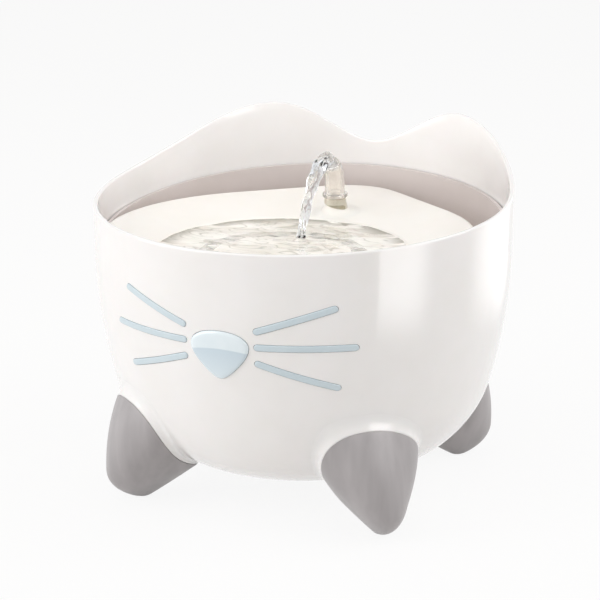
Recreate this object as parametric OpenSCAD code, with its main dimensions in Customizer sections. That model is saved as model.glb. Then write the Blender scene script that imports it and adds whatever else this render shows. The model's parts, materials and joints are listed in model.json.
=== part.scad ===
// Pet water fountain: a round bowl with an ear-shaped rim on four splayed feet.
// Origin: on the floor under the middle of the bowl. The face looks along -Y, +Z is up.
// Millimetres throughout.

/* [Bowl shell] */
// Radius of the shell where it is widest
bowl_r = 112.5; // [108:0.5:125]
// Wall thickness of the shell
shell_wall = 2.5; // [2:0.1:3]
// Height of the shell's underside above the floor
shell_floor_z = 17.5; // [16:0.5:18.5]
// Height above which the wall stands upright
upright_z = 132.5; // [130:0.5:136]
// Radius of the long curve of the wall, seen from the side
wall_sweep_r = 272; // [250:2:320]
// Radius of the round between wall and underside
floor_round_r = 58; // [55:0.5:60]

/* [Rim and ears] */
// Height of the rim at the front
rim_front_z = 154; // [150:1:165]
// How much the rim climbs from front to back without its ears
rim_climb = 14; // [8:1:20]
// Height of an ear above that climbing rim
ear_rise = 25; // [15:1:35]
// Height of the dip between the ears
ear_dip_z = 170; // [166:1:176]
// Angle of each ear's tip from the back
ear_at = 31.5; // [26:0.5:38]
// Angle over which an ear falls away to the side
ear_spread = 22; // [16:1:28]

/* [Feet] */
// Angle of each front foot from the front
foot_at = 46.5; // [43:0.5:50]
// Angle of each rear foot from the back
foot_rear_at = 50.5; // [48:0.5:54]
// How far a foot's tip lies inside the bowl's widest radius
foot_set = 19; // [17:0.5:21]
// Radius of the small flat that stands on the floor
foot_flat_r = 2.5; // [2:0.5:4]
// How far a foot bulges outward beyond its flat
foot_bulge = 18.5; // [15:0.5:20]
// Height at which a foot reaches furthest out
foot_bulge_z = 18; // [15:1:22]
// How far a foot runs in under the bowl from its tip
foot_keel = 28; // [25:1:32]
// Half the width of a foot where it meets the bowl
foot_half_w = 29.5; // [26:0.5:33]
// Height at which a foot is widest
foot_wide_z = 55; // [48:1:60]
// How far a foot's root swings round towards the front or the back
foot_sweep = 8.2; // [4:0.2:10]
// Height at which a foot has run out into the bowl
foot_top_z = 76; // [74:1:80]
// Thickness of the white leg root between bowl and foot cap
root_t = 3; // [2:0.25:3.5]

/* [Face] */
// Height of the middle of the nose
nose_z = 101.8; // [98:0.2:106]
// Half the height of the nose
nose_half_h = 12.6; // [9:0.2:15]
// Half the width that the nose's outline starts from
nose_half_w = 14; // [10:0.2:17]
// How much wider the nose is at its top than at its tip
nose_taper = 0.5; // [0.2:0.05:0.55]
// How far the nose stands out of the wall
nose_proud = 1.6; // [0.8:0.1:2.5]
// Width of a whisker
whisker_w = 3.3; // [2.4:0.1:4]
// How far a whisker stands out of the wall
whisker_proud = 0.5; // [0.2:0.1:1]
// Distance of a whisker's inner end from the middle
whisker_in_x = 19.6; // [18.6:0.2:24]
// Height of the middle whiskers
whisker_mid_z = 107.3; // [104:0.1:110]

/* [Light] */
// Thickness of the plate that spreads the light
guide_t = 2; // [1.5:0.1:2.5]
// Width of the light housing
light_w = 34; // [30:1:36]
// Height of the light housing
light_h = 20; // [18:1:22]
// Depth of the light housing from front to back
light_d = 9; // [8:0.5:10]
// Wall thickness of the light housing
light_wall = 1.5; // [1.2:0.1:2]
// Thickness of the light board
board_t = 1.6; // [1:0.2:2]

/* [Tank] */
// Clearance between shell and tank
tank_gap = 0.6; // [0.4:0.1:1]
// Wall thickness of the tank
tank_wall = 2; // [1.6:0.1:2.4]
// Height of the tank's underside
tank_floor_z = 30; // [29:0.5:32]
// Room for the leads between the shell and the tank's underside
lead_room = 8.3; // [7.5:0.1:9]
// How much wider the tank is under its shoulder than at its underside
tank_flare = 17.8; // [15:0.2:20]
// Height of the ledge that carries the drinking top
ledge_z = 123; // [122:0.5:125]
// Height of the tilted tank rim over the middle
tank_rim_z = 143; // [141:0.5:146]
// Tilt of the tank rim, up towards the back
tank_rim_tilt = 6.6; // [4:0.2:8]

/* [Drinking top] */
// Height of the drinking top's lip
lip_z = 145; // [143:0.5:147]
// How much smaller than the bowl the lip's wide front part is
lip_front_set = 14; // [12.5:0.5:16.5]
// How far that part's middle lies in front of the bowl's middle
lip_front_y = 20; // [16:1:24]
// Radius of the lip's lobe behind the spout
lip_lobe_r = 30; // [26:1:34]
// How far the lobe's middle lies inside the bowl's widest radius
lip_lobe_set = 42.5; // [40.5:1:46.5]
// Clearance between drinking top and tank wall
top_gap = 1; // [0.6:0.1:1.5]
// Wall thickness of the drinking top
top_wall = 2.2; // [1.8:0.1:2.6]
// Width of the rolled edge along the lip
lip_w = 3; // [2.4:0.1:4]
// How much smaller than the bowl the pool is at its brim
pool_set = 46.3; // [44.5:0.2:50.5]
// How far the pool's middle lies in front of the bowl's middle
pool_y = 30.3; // [28:0.1:33]
// Height of the pool's brim
pool_brim_z = 138; // [137:0.2:139]
// Height of the pool's floor
pool_floor_z = 129; // [128:0.5:131]
// How much smaller than its brim the pool's flat floor is
pool_slope = 26.2; // [20.2:1:32.2]
// Number of overflow slots along the front of the pool
slot_count = 9; // [5:2:13]
// Width of an overflow slot
slot_w = 3; // [2:0.2:4]

/* [Spout] */
// Distance of the nozzle's seat behind the middle
spout_y = 48; // [47:0.5:50]
// Height of the nozzle's seat
spout_z = 149; // [148:0.5:150.5]
// Angle by which the spout leans forward
spout_lean = 5; // [3:0.5:8]
// Radius of the spout's neck at its top
neck_top_r = 7.6; // [7.4:0.1:8.4]
// Radius of the spout's neck at its foot
neck_foot_r = 10.5; // [9:0.5:12]
// Radius of the plug that the nozzle turns on
plug_r = 4.65; // [4.4:0.05:5]
// Length of that plug
plug_l = 8.5; // [7:0.5:9]
// Radius of the nozzle's collar
collar_r = 7.4; // [6.8:0.1:8.2]
// Height of the nozzle's collar
collar_h = 2.4; // [1.8:0.2:3]
// Outer radius of the nozzle's tube
nozzle_r = 6.3; // [5.6:0.1:6.7]
// Radius of the water way through nozzle and neck
bore_r = 3.6; // [3:0.1:3.8]
// Length of the nozzle's straight part above its seat
nozzle_rise = 10; // [8:0.5:12]
// Radius of the nozzle's bend
nozzle_bend_r = 12; // [10:0.5:15]
// Angle of the nozzle's bend
nozzle_bend = 40; // [25:5:60]
// Length of the nozzle's mouth after the bend
nozzle_mouth = 3; // [2:0.5:5]
// Outer radius of the riser tube
riser_r = 6; // [5.6:0.1:6.2]
// Distance of the riser behind the middle
riser_y = 49; // [48:0.5:50]

/* [Pump] */
// Length of the pump's body behind the impeller, from the outlet
pump_tail = 32; // [31.5:0.25:33]
// Depth of the pump's body from front to back
pump_d = 24; // [23.5:0.25:24.25]
// Height of the pump's body
pump_h = 32; // [32:0.5:34]
// Wall thickness of the pump's body
pump_wall = 1.6; // [1.4:0.1:1.8]
// Distance of the impeller's axis behind the middle
pump_y = 44; // [43:0.5:46]
// Height of the impeller's axis above the pump's underside
axis_h = 18.8; // [18.4:0.1:19.2]
// Height of the suction cups
cup_h = 4; // [3:0.25:5]
// Radius of the impeller
impeller_r = 9; // [8:0.25:9.5]
// Radius of the chamber around the impeller
chamber_r = 10.5; // [10.2:0.1:11]
// Half the length of that chamber
chamber_half = 5; // [5:0.1:5.4]
// Radius of the impeller's shaft
shaft_r = 1; // [0.8:0.05:1.2]
// Radius of the rotor magnet
magnet_r = 5.9; // [5.4:0.1:6]
// Length of the rotor magnet
magnet_l = 20.5; // [18:0.5:21]
// Radius of the pump's outlet pipe
outlet_r = 3.9; // [3.7:0.05:4.2]
// Length of the pump's outlet pipe
outlet_l = 14; // [10:0.5:20]
// Thickness of the pump cover's plate
cover_t = 3; // [2.5:0.25:3.5]
// Radius of the pump cover's intake drum
drum_r = 9; // [8.5:0.25:10]
// Length of the pump cover's intake drum
drum_l = 6; // [5.5:0.25:7]
// Thickness of the flow knob
knob_t = 2; // [1.6:0.2:3]

/* [Hood and filter] */
// Half the width of the pump hood
hood_half_w = 44; // [42:0.5:46]
// Distance of the hood's front wall behind the middle
hood_front_y = 12; // [11:0.5:14]
// Wall thickness of the hood
hood_wall = 1.6; // [1.4:0.1:2]
// Clearance between the hood and the tank's wall
hood_gap = 0.8; // [0.5:0.1:1.5]
// Clearance of the riser tube in the hood's roof
riser_play = 2; // [0.5:0.1:3]
// Clearance between the pump and the hood's roof
hood_head = 3.8; // [2:0.2:5]
// Width of the filter frame
filter_w = 60; // [50:1:64]
// Thickness of the filter frame
filter_t = 7.2; // [6:0.2:8]
// Height of the filter frame
filter_h = 38; // [30:1:38]
// Width of the filter frame's rim
filter_rim = 4; // [3:0.25:5]

/* [Power] */
// Height of the power socket
socket_z = 44; // [43:0.5:45]
// How far the power socket's face lies inside the bowl's widest radius
socket_set = 17; // [16.5:0.5:18]
// Radius of the power socket's barrel
socket_r = 4; // [3.8:0.1:4.2]
// Radius of the plug opening in the power socket
plug_hole_r = 2.75; // [2.5:0.05:2.9]
// Height at which the pump's lead goes through the tank's wall
grommet_z = 46; // [46:0.5:47]
// Radius of the pump's lead
pump_lead_r = 1.5; // [1.2:0.1:1.6]
// Radius of the light's lead
light_lead_r = 1.1; // [0.8:0.1:1.1]

/* [Screws] */
// Radius of the screws' shanks
screw_r = 1.25; // [1:0.05:1.4]
// Radius of the screws' heads
screw_head_r = 3.2; // [2.8:0.1:3.4]
// Height of the screws' heads
screw_head_h = 2.2; // [1.8:0.1:2.4]
// Distance of a tank screw from the middle
tank_screw_at = 42; // [38:1:43]
// How far a foot screw lies inside the foot's tip
foot_screw_set = 13.5; // [12.5:0.5:15]

/* [Fits] */
// Clearance of a turning or sliding fit, on the radius
run_gap = 0.05; // [0.02:0.01:0.09]
// Clearance of windows and caps in their seats
seat_gap = 0.2; // [0.1:0.05:0.3]

/* [Hidden] */

$fn = 96;
eps = 0.01;
small_fn = 32;
lead_fn = 8;
lead_gap = 0.1;

// Colours
white = [0.93, 0.92, 0.91];
cream = [0.97, 0.96, 0.93];
grey = [0.66, 0.65, 0.65];
taupe = [0.80, 0.76, 0.74];
pale_blue = [0.80, 0.88, 0.92];
clear = [0.88, 0.92, 0.92];
dark = [0.16, 0.17, 0.18];
steel = [0.72, 0.73, 0.75];
copper = [0.72, 0.42, 0.22];
rubber_grey = [0.35, 0.36, 0.37];
foam_blue = [0.35, 0.45, 0.55];

// Bowl outline
sweep_x = bowl_r - wall_sweep_r;
tangent_at = -asin((upright_z - shell_floor_z - floor_round_r) / (wall_sweep_r - floor_round_r));
round_x = sweep_x + (wall_sweep_r - floor_round_r) * cos(tangent_at);
round_z = shell_floor_z + floor_round_r;
tangent_z = upright_z + wall_sweep_r * sin(tangent_at);
inner_floor_z = shell_floor_z + shell_wall;
ear_top_z = rim_front_z + rim_climb * (1 + cos(ear_at)) / 2 + ear_rise;
top_z = ear_top_z + 10;
round_steps = 10;
sweep_steps = 16;

// Rim cutter
rim_steps = 120;
cutter_in = 6;
cutter_out = 6;
dip_shape = 0.9;

// Feet
foot_reach = bowl_r - foot_set;
foot_screw_at = foot_reach - foot_screw_set;
foot_steps = 18;
foot_sides = 36;
foot_step_shape = 1.3;
foot_lean_in = 0.0047;
bulge_shape = 0.7;
keel_shape = 0.916;
width_shape = 0.945;
foot_sweep_z = 64;
foot_angles = [270 - foot_at, foot_at - 90, 90 - foot_rear_at, foot_rear_at + 90];
foot_hands = [1, -1, 1, -1];

// Foot screws
pad_r = screw_head_r + 2;
pad_z = inner_floor_z + 17;
foot_pilot_depth = 10;
foot_shank_l = foot_pilot_depth + 13;
bite = 0.5;

// Tank
low_in_r = round_x + sqrt(pow(floor_round_r - shell_wall, 2) - pow(round_z - tank_floor_z, 2));
tank_foot_r = low_in_r - lead_room;
tank_waist_r = tank_foot_r + tank_flare;
shell_in_r = bowl_r - shell_wall;
tank_r = shell_in_r - tank_gap;
tank_in_r = tank_r - tank_wall;
water_floor_z = tank_floor_z + tank_wall;
tank_floor_in_r = tank_foot_r - tank_wall;
tank_boss_r = 4;
tank_pilot_depth = 7;
foot_chamfer = 2;

// Light
guide_r_off = shell_wall + seat_gap;
guide_half_w = 66;
guide_low_z = 84;
guide_high_z = ledge_z - tank_wall - 1;
light_front_y = -(bowl_r - guide_r_off - guide_t - 5.6);
light_back_y = light_front_y + light_d;
ear_x = light_w / 2 + 4.5;
ear_half = 4;
ear_t = 2;
ear_y = light_back_y - 2 * ear_t;
board_w = light_w - 2 * light_wall - 2;
board_h = light_h - 2 * light_wall - 2;
lamp_pitch = 9;
lamp_size = 5;
lamp_t = 1.9;
light_boss_r = 3;
light_screw_l = 6;

// Whiskers: height gained from inner to outer end, and reach of the outer end
whisker_end_x = [55.3, 63.7, 55.3];
whisker_inner_dz = [8.3, 0, -8.6];
whisker_outer_dz = [20.2, 0, -20.9];
capsule_steps = 8;
nose_steps = 48;
window_depth = 30;

// Drinking top
lip_front_r = bowl_r - lip_front_set;
lip_lobe_y = bowl_r - lip_lobe_set;
pool_r = bowl_r - pool_set;
pool_floor_r = pool_r - pool_slope;
top_clip_r = tank_in_r - top_gap;
lip_roll_h = 2.6;
slope_drop = 2.4;
basin_out_r = pool_r + 2;
basin_step = 0.8;
pool_lap = 0.5;
skirt_inset = 0.6;
slot_l = 4;
slot_step = 12;
slot_r = pool_r + 1.5;
lip_fn = 120;

// Spout
neck_l = 11;
boss_top_z = pool_brim_z + 0.5;
bend_step = 0.15;
bend_lap = 0.4;
seat_r = plug_r + run_gap;
riser_boss_r = riser_r + 2.5;
socket_low_z = 116;
socket_stop_z = 129;
riser_low_gap = 0.8;
groove_d = 0.6;
oring_r = 0.27;
oring_y = -plug_l / 2 - 1;

// Pump
pump_z = water_floor_z + cup_h;
pump_top_z = pump_z + pump_h;
axis_z = pump_z + axis_h;
well_r = magnet_r + 0.6;
well_wall = 1;
well_end = chamber_half + magnet_l + 2;
bush_r = 2.5;
bush_l = 2;
bush_bore = shaft_r + run_gap;
hub_r = 3;
front_bush_r = 1.9;
bush_floor = 0.8;
spigot_l = 3.5;
spigot_t = 1;
intake_r = 5;
drum_hole_r = 2.1;
drum_hole_at = 5.1;
knob_pin_r = 1.5;
end_wall = 1.5;
blade_t = 1.2;
blade_x = 0.4 - chamber_half;
blade_root = 0.5;
hub_tail = 0.5;
blade_count = 6;
disc_t = 0.8;
blade_l = 4.8;
knob_gap = 0.1;
pointer_w = 2.4;
pointer_h = 4;
spider_t = 1.2;
outlet_bore_r = outlet_r - 1.5;
seal_r = 0.45;
cup_r = 5;
cup_stem_r = 1.8;
cup_x = [-pump_tail + 6, 0];
cup_dy = 8;

// Stator
core_l = 12;
core_x = -chamber_half - 19;
core_half_d = 9;
core_low = 3.8;
yoke_h = 3;
window_half = 5;
window_h = 3.6;
coil_gap = 0.2;
coil_over = 3;
coil_h = core_low - pump_wall - lead_gap + yoke_h + window_h - coil_gap;
core_bore_r = well_r + well_wall + 0.1;
core_crown = 1.3;
core_slot = 3;

// Hood and filter
hood_low_z = water_floor_z + 0.2;
hood_roof_z = pump_top_z + hood_head;
hood_r = tank_floor_in_r - hood_gap;
riser_hole_r = riser_r + riser_play;
lead_notch_w = 2 * pump_lead_r + 2;
pocket_gap = 0.4;
pocket_out_y = hood_front_y - filter_t - 2 * pocket_gap - hood_wall;
pocket_half_w = filter_w / 2 + pocket_gap + hood_wall;
pocket_floor_z = hood_low_z + hood_wall;
pocket_h = filter_h * 0.85;
filter_y = hood_front_y - pocket_gap - filter_t;
filter_z = pocket_floor_z + 0.1;
pad_w = filter_w - 2 * (filter_rim + seat_gap);
tab_w = 16;
tab_h = 4;
foam_t = 3.4;
grid_t = 1;
grid_pitch = 13;

// Power
socket_face_y = bowl_r - socket_set;
socket_boss_r = socket_r + 4.6;
socket_flange_r = socket_r + 1.6;
socket_flange_t = 1.5;
socket_back_y = socket_face_y - 10.5;
nut_t = 3;
nut_r = socket_r + 2;
nut_seat_y = socket_face_y - 4;
plug_hole_l = 8;
plug_pin_r = 0.65;
grommet_at = 52;
grommet_r = 4;
grommet_lip_r = 5.6;
grommet_lip_t = 1.5;
grommet_pad_r = 7;
grommet_wall_r = tank_foot_r + tank_flare * (grommet_z - tank_floor_z - foot_chamfer)
    / (ledge_z - tank_wall - tank_floor_z - foot_chamfer);
grommet_in_y = grommet_wall_r - tank_wall - 3.3;
grommet_out_y = grommet_wall_r + 3.2;
lead_run_r = low_in_r + 5.5;
lead_y = pump_y - 6;
lead_turn_r = 6;
lead_turn = 90 - grommet_at;
socket_joint_y = socket_face_y - 8.5;
light_lead_x = 18;
light_lead_rise = light_lead_r + 1;
light_low_z = nose_z - light_h / 2;
light_joint_x = 3;
light_joint_set = 14.5;

// Points on an arc from angle a0 to a1, leaving out the first one when first is 1
function arc(cx, cy, r, a0, a1, n, first = 0) =
    [for (i = [first:n]) let (a = a0 + (a1 - a0) * i / n) [cx + r * cos(a), cy + r * sin(a)]];

// Half section of the bowl's solid form, moved inwards by d and closed at height top
function bowl_outline(d, top) = concat(
    [[0, shell_floor_z + d]],
    arc(round_x, round_z, floor_round_r - d, -90, tangent_at, round_steps),
    arc(sweep_x, upright_z, wall_sweep_r - d, tangent_at, 0, sweep_steps, 1),
    [[bowl_r - d, top], [0, top]]);

// Height of the rim at angle a from the back
function rim_z(a) = a < ear_at
    ? ear_dip_z + (ear_top_z - ear_dip_z) * pow(sin(90 * pow(a / ear_at, dip_shape)), 2)
    : rim_front_z + rim_climb * (1 + cos(a)) / 2 + ear_rise * exp(-pow((a - ear_at) / ear_spread, 2) / 2);

// Foot form: outer reach, inner reach and half width at height z
function foot_out(z) = foot_reach + foot_flat_r + (z < foot_bulge_z
    ? foot_bulge * sin(90 * pow(z / foot_bulge_z, bulge_shape))
    : foot_bulge - foot_lean_in * pow(z - foot_bulge_z, 2));
function foot_in(z) = foot_reach - foot_flat_r
    - foot_keel * pow(min(z, shell_floor_z) / shell_floor_z, keel_shape);
function foot_half(z) = foot_flat_r
    + (foot_half_w - foot_flat_r) * sin(90 * pow(min(z, foot_wide_z) / foot_wide_z, width_shape));
function foot_ring(z, hand) = let (u = (foot_out(z) + foot_in(z)) / 2, a = (foot_out(z) - foot_in(z)) / 2,
    swing = hand * foot_sweep * min(z, foot_sweep_z) / foot_sweep_z)
    [for (i = [0:foot_sides - 1]) let (t = 360 * i / foot_sides)
        [u + a * cos(t), swing + foot_half(z) * sin(t), z]];

// Rounded strip between two points, w wide
function capsule(p, q, w) = let (t = atan2(q[1] - p[1], q[0] - p[0]))
    concat(arc(q[0], q[1], w / 2, t - 90, t + 90, capsule_steps),
        arc(p[0], p[1], w / 2, t + 90, t + 270, capsule_steps));

// Outline of the nose, grown by g
function nose_outline(g) = [for (i = [0:nose_steps - 1]) let (t = 360 * i / nose_steps)
    [(nose_half_w + g) * sin(t) * (1 + nose_taper * cos(t)), nose_z + (nose_half_h + g) * cos(t)]];

function unit(v) = v / norm(v);

// Direction of a route at its point i
function heading(p, i) = unit(p[min(i + 1, len(p) - 1)] - p[max(i - 1, 0)]);

// Ring of radius r round a route's point i
function lead_ring(p, i, r) = let (d = heading(p, i),
    u = unit(cross(d, abs(d[2]) > 0.9 ? [1, 0, 0] : [0, 0, 1])), w = cross(d, u))
    [for (j = [0:lead_fn - 1]) let (t = 360 * j / lead_fn) p[i] + r * (cos(t) * u + sin(t) * w)];

// Point at radius r, angle a from the back towards -X, height z
function rear_point(r, a, z) = [-r * sin(a), r * cos(a), z];

// Height of the shell's inner face at radius r
function bed_z(r) = r < round_x ? inner_floor_z
    : round_z - sqrt(pow(floor_round_r - shell_wall, 2) - pow(r - round_x, 2));

// Route of the pump's lead: out of the pump, through the tank's wall, round to the socket
pump_route = concat(
    [[-pump_tail + 0.5, lead_y, grommet_z], [-pump_tail - 6, lead_y, grommet_z]],
    [for (i = [0:3]) let (a = lead_turn * i / 3)
        [lead_turn_r * (tan(lead_turn / 2) - sin(a)) - lead_y * tan(grommet_at),
            lead_turn_r * (1 - cos(a)) + lead_y, grommet_z]],
    [for (r = [grommet_in_y, grommet_wall_r, grommet_out_y + grommet_lip_t])
        rear_point(r, grommet_at, grommet_z)],
    [for (p = [[-4.5, 0.4, 0], [-2.5, 1.4, 0.1], [-0.8, 3.1, 0.2], [0, 5.2, 0.3]])
        rear_point(lead_run_r + p[0], grommet_at - p[1], grommet_z - p[2])],
    [for (i = [0:6]) rear_point(lead_run_r, grommet_at - 9 - 5.5 * i,
        grommet_z - 0.5 - (grommet_z - socket_z - 0.6) * i / 6)],
    [[-socket_r - 5, socket_joint_y - 1, socket_z], [-socket_r - 2.5, socket_joint_y, socket_z],
        [-socket_r - lead_gap, socket_joint_y, socket_z]]);

// Route of the light's lead: out of the socket, under the tank, up behind the nose
light_route = concat(
    [[socket_r + lead_gap, socket_joint_y, socket_z]],
    [for (p = [[-11.5, 0.3, -0.4], [-7.5, 1.4, -1.5], [-3.5, 3.8, -4.2], [-0.8, 7, -8.2]])
        [light_lead_x + p[0], socket_joint_y - p[1], socket_z + p[2]]],
    [for (i = [7:-1:-7]) let (y = (low_in_r - 3) * i / 7)
        [light_lead_x, y, bed_z(norm([light_lead_x, y])) + light_lead_rise]],
    [for (p = [[-0.8, 31, 0.14], [-2.5, 26.5, 0.26], [-5, 23.5, 0.39], [-8, 21, 0.53], [-11, 19, 0.67],
            [-13.5, 17, 0.79], [-15, 15.2, 0.88]])
        [light_lead_x + p[0], p[1] - bowl_r, tank_floor_z + p[2] * (light_low_z - tank_floor_z)]],
    [for (low = [4, lead_gap]) [light_joint_x, light_joint_set - bowl_r, light_low_z - low]]);

// Solid through a stack of rings, closed at both ends or joined into a loop
module skin(rings, looped = false) {
    m = len(rings);
    n = len(rings[0]);
    sides = [for (i = [0:looped ? m - 1 : m - 2], j = [0:n - 1])
        let (k = (i + 1) % m, l = (j + 1) % n)
        each [[i * n + j, k * n + l, i * n + l], [i * n + j, k * n + j, k * n + l]]];
    caps = looped ? [] : [[for (j = [0:n - 1]) j], [for (j = [n - 1:-1:0]) (m - 1) * n + j]];
    polyhedron([for (ring = rings) each ring], concat(sides, caps), convexity = 6);
}

module lead(route, r) skin([for (i = [0:len(route) - 1]) lead_ring(route, i, r)]);

// Solid form of the bowl, moved inwards by d
module bowl_form(d, top = top_z) rotate_extrude() polygon(bowl_outline(d, top));

// Everything above the rim's line
module above_rim() skin([for (i = [0:rim_steps - 1])
    let (t = 360 * i / rim_steps, low = rim_z(acos(sin(t))), high = top_z + 5)
    [for (p = [[bowl_r + cutter_out, low], [shell_in_r - cutter_in, low],
            [shell_in_r - cutter_in, high], [bowl_r + cutter_out, high]])
        [p[0] * cos(t), p[0] * sin(t), p[1]]]], true);

// One foot's whole form, pointing along +X
module foot_form(hand) skin([for (i = [0:foot_steps])
    foot_ring(foot_top_z * pow(i / foot_steps, foot_step_shape), hand)]);

// Prism that stands on the XZ plane and reaches through the front wall
module front_prism(points) rotate([90, 0, 0]) translate([0, 0, bowl_r + 5 - window_depth])
    linear_extrude(window_depth) polygon(points);

// The three whiskers of one side, grown by g
module whisker_prisms(side, g) for (i = [0:2])
    front_prism(capsule([side * whisker_in_x, whisker_mid_z + whisker_inner_dz[i]],
        [side * whisker_end_x[i], whisker_mid_z + whisker_outer_dz[i]], whisker_w + 2 * g));

// Rod of radius r along +Y, from y0 to y1
module y_rod(r, y0, y1, fn = 48) translate([0, y0, 0]) rotate([-90, 0, 0])
    cylinder(r = r, h = y1 - y0, $fn = fn);

// Rod of radius r along +X, from x0 to x1
module x_rod(r, x0, x1, fn = 48) translate([x0, 0, 0]) rotate([0, 90, 0])
    cylinder(r = r, h = x1 - x0, $fn = fn);

module at_tank_screws() for (a = [0:90:270]) rotate([0, 0, a]) translate([tank_screw_at, 0, 0]) children();

module at_foot_screws() for (a = foot_angles) rotate([0, 0, a])
    translate([foot_screw_at, 0, 0]) children();

// Pan-head screw: head on top, shank of length l down the -Z axis, cross recess
module screw(l, r = screw_r, head_r = screw_head_r, head_h = screw_head_h) difference() {
    union() {
        translate([0, 0, -l]) cylinder(r = r, h = l + eps, $fn = small_fn);
        cylinder(r1 = head_r, r2 = head_r * 0.8, h = head_h, $fn = small_fn);
    }
    for (a = [0, 90]) rotate([0, 0, a]) translate([-head_r / 2, -head_r / 10, head_h * 0.55])
        cube([head_r, head_r / 5, head_h]);
}

module outer_shell() color(white) difference() {
    union() {
        bowl_form(0);
        for (i = [0:3]) rotate([0, 0, foot_angles[i]]) intersection() {
            foot_form(foot_hands[i]);
            bowl_form(-root_t);
        }
        translate([0, 0, socket_z]) y_rod(socket_boss_r, low_in_r, socket_face_y);
    }
    difference() {
        bowl_form(shell_wall, top_z + 1);
        at_foot_screws() cylinder(r = pad_r, h = pad_z, $fn = small_fn);
        translate([0, 0, socket_z]) y_rod(socket_boss_r, nut_seat_y, bowl_r);
    }
    above_rim();
    front_prism(nose_outline(seat_gap));
    for (side = [-1, 1]) whisker_prisms(side, seat_gap);
    at_foot_screws() cylinder(r = screw_r + seat_gap, h = pad_z + 1, $fn = small_fn);
    at_tank_screws() cylinder(r = screw_r + seat_gap, h = pad_z, $fn = small_fn);
    translate([0, 0, socket_z]) {
        y_rod(socket_r + lead_gap, low_in_r, socket_face_y + 1);
        y_rod(nut_r + 0.8, low_in_r, nut_seat_y);
        y_rod(socket_flange_r + 0.4, socket_face_y, bowl_r);
    }
}

module foot_cap(i) color(grey) rotate([0, 0, foot_angles[i]]) difference() {
    foot_form(foot_hands[i]);
    bowl_form(-root_t - seat_gap / 2);
    translate([foot_screw_at, 0, pad_z - foot_shank_l - bite])
        cylinder(r = screw_r + run_gap, h = foot_shank_l, $fn = small_fn);
}

module foot_screws() color(steel) at_foot_screws() translate([0, 0, pad_z])
    screw(foot_shank_l);

module tank_screws() color(steel) at_tank_screws() translate([0, 0, shell_floor_z]) mirror([0, 0, 1])
    screw(shell_wall + tank_pilot_depth - 1);

module inner_tank() color(taupe) difference() {
    union() {
        rotate_extrude() polygon([
            [0, tank_floor_z], [tank_foot_r - foot_chamfer, tank_floor_z],
            [tank_foot_r, tank_floor_z + foot_chamfer],
            [tank_waist_r, ledge_z - tank_wall], [tank_r, ledge_z - tank_wall], [tank_r, top_z],
            [tank_in_r, top_z], [tank_in_r, ledge_z], [tank_waist_r - tank_wall, ledge_z],
            [tank_floor_in_r, water_floor_z], [0, water_floor_z]]);
        at_tank_screws() translate([0, 0, inner_floor_z])
            cylinder(r = tank_boss_r, h = tank_floor_z - inner_floor_z + eps, $fn = small_fn);
        rotate([0, 0, grommet_at]) translate([0, 0, grommet_z])
            y_rod(grommet_pad_r, grommet_in_y, grommet_out_y);
    }
    translate([0, 0, tank_rim_z]) rotate([tank_rim_tilt, 0, 0])
        translate([-bowl_r * 2, -bowl_r * 2, 0]) cube([bowl_r * 4, bowl_r * 4, bowl_r]);
    at_tank_screws() translate([0, 0, inner_floor_z - 1])
        cylinder(r = screw_r + run_gap, h = tank_pilot_depth + 1, $fn = small_fn);
    rotate([0, 0, grommet_at]) translate([0, 0, grommet_z])
        y_rod(grommet_r + run_gap, grommet_in_y - 1, grommet_out_y + 1);
}

module nose_window() color(pale_blue) intersection() {
    front_prism(nose_outline(0));
    difference() {
        bowl_form(-nose_proud);
        bowl_form(shell_wall, top_z + 1);
    }
}

module whisker_windows() color(pale_blue) for (side = [-1, 1]) intersection() {
    whisker_prisms(side, 0);
    difference() {
        bowl_form(-whisker_proud);
        bowl_form(shell_wall, top_z + 1);
    }
}

module light_guide() color(clear) difference() {
    union() {
        intersection() {
            difference() {
                bowl_form(guide_r_off);
                bowl_form(guide_r_off + guide_t, top_z + 1);
            }
            translate([-guide_half_w, -bowl_r, guide_low_z])
                cube([2 * guide_half_w, bowl_r / 2, guide_high_z - guide_low_z]);
        }
        intersection() {
            bowl_form(guide_r_off);
            for (x = [-ear_x, ear_x]) translate([x, 0, nose_z]) y_rod(light_boss_r, -bowl_r, ear_y, small_fn);
        }
    }
    for (x = [-ear_x, ear_x]) translate([x, 0, nose_z])
        y_rod(screw_r + run_gap, ear_y - light_screw_l, ear_y + 1, small_fn);
}

module light_housing() color(white) difference() {
    union() {
        translate([-light_w / 2, light_front_y, nose_z - light_h / 2]) cube([light_w, light_d, light_h]);
        translate([-ear_x - ear_half, ear_y, nose_z - ear_half])
            cube([2 * (ear_x + ear_half), ear_t, 2 * ear_half]);
    }
    translate([-light_w / 2 + light_wall, light_front_y - 1, nose_z - light_h / 2 + light_wall])
        cube([light_w - 2 * light_wall, light_d - light_wall + 1, light_h - 2 * light_wall]);
    for (x = [-ear_x, ear_x]) translate([x, 0, nose_z])
        y_rod(screw_r + seat_gap, ear_y - 1, ear_y + ear_t + 1, small_fn);
}

module light_housing_screws() color(steel) for (x = [-ear_x, ear_x])
    translate([x, ear_y + ear_t, nose_z]) rotate([-90, 0, 0])
        screw(ear_t + light_screw_l - 1, head_r = light_boss_r - 0.2, head_h = screw_head_h - 0.4);

module light_board() color([0.15, 0.45, 0.28])
    translate([-board_w / 2, light_back_y - light_wall - board_t, nose_z - board_h / 2])
        cube([board_w, board_t, board_h]);

module light_lamps() color([0.98, 0.95, 0.70]) for (i = [-1, 0, 1])
    translate([i * lamp_pitch, light_back_y - light_wall - board_t, nose_z]) {
        translate([-lamp_size / 2, -lamp_t, -lamp_size / 2]) cube([lamp_size, lamp_t, lamp_size]);
        y_rod(lamp_size / 3, -lamp_t - 0.6, -lamp_t + eps, small_fn);
    }

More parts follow.
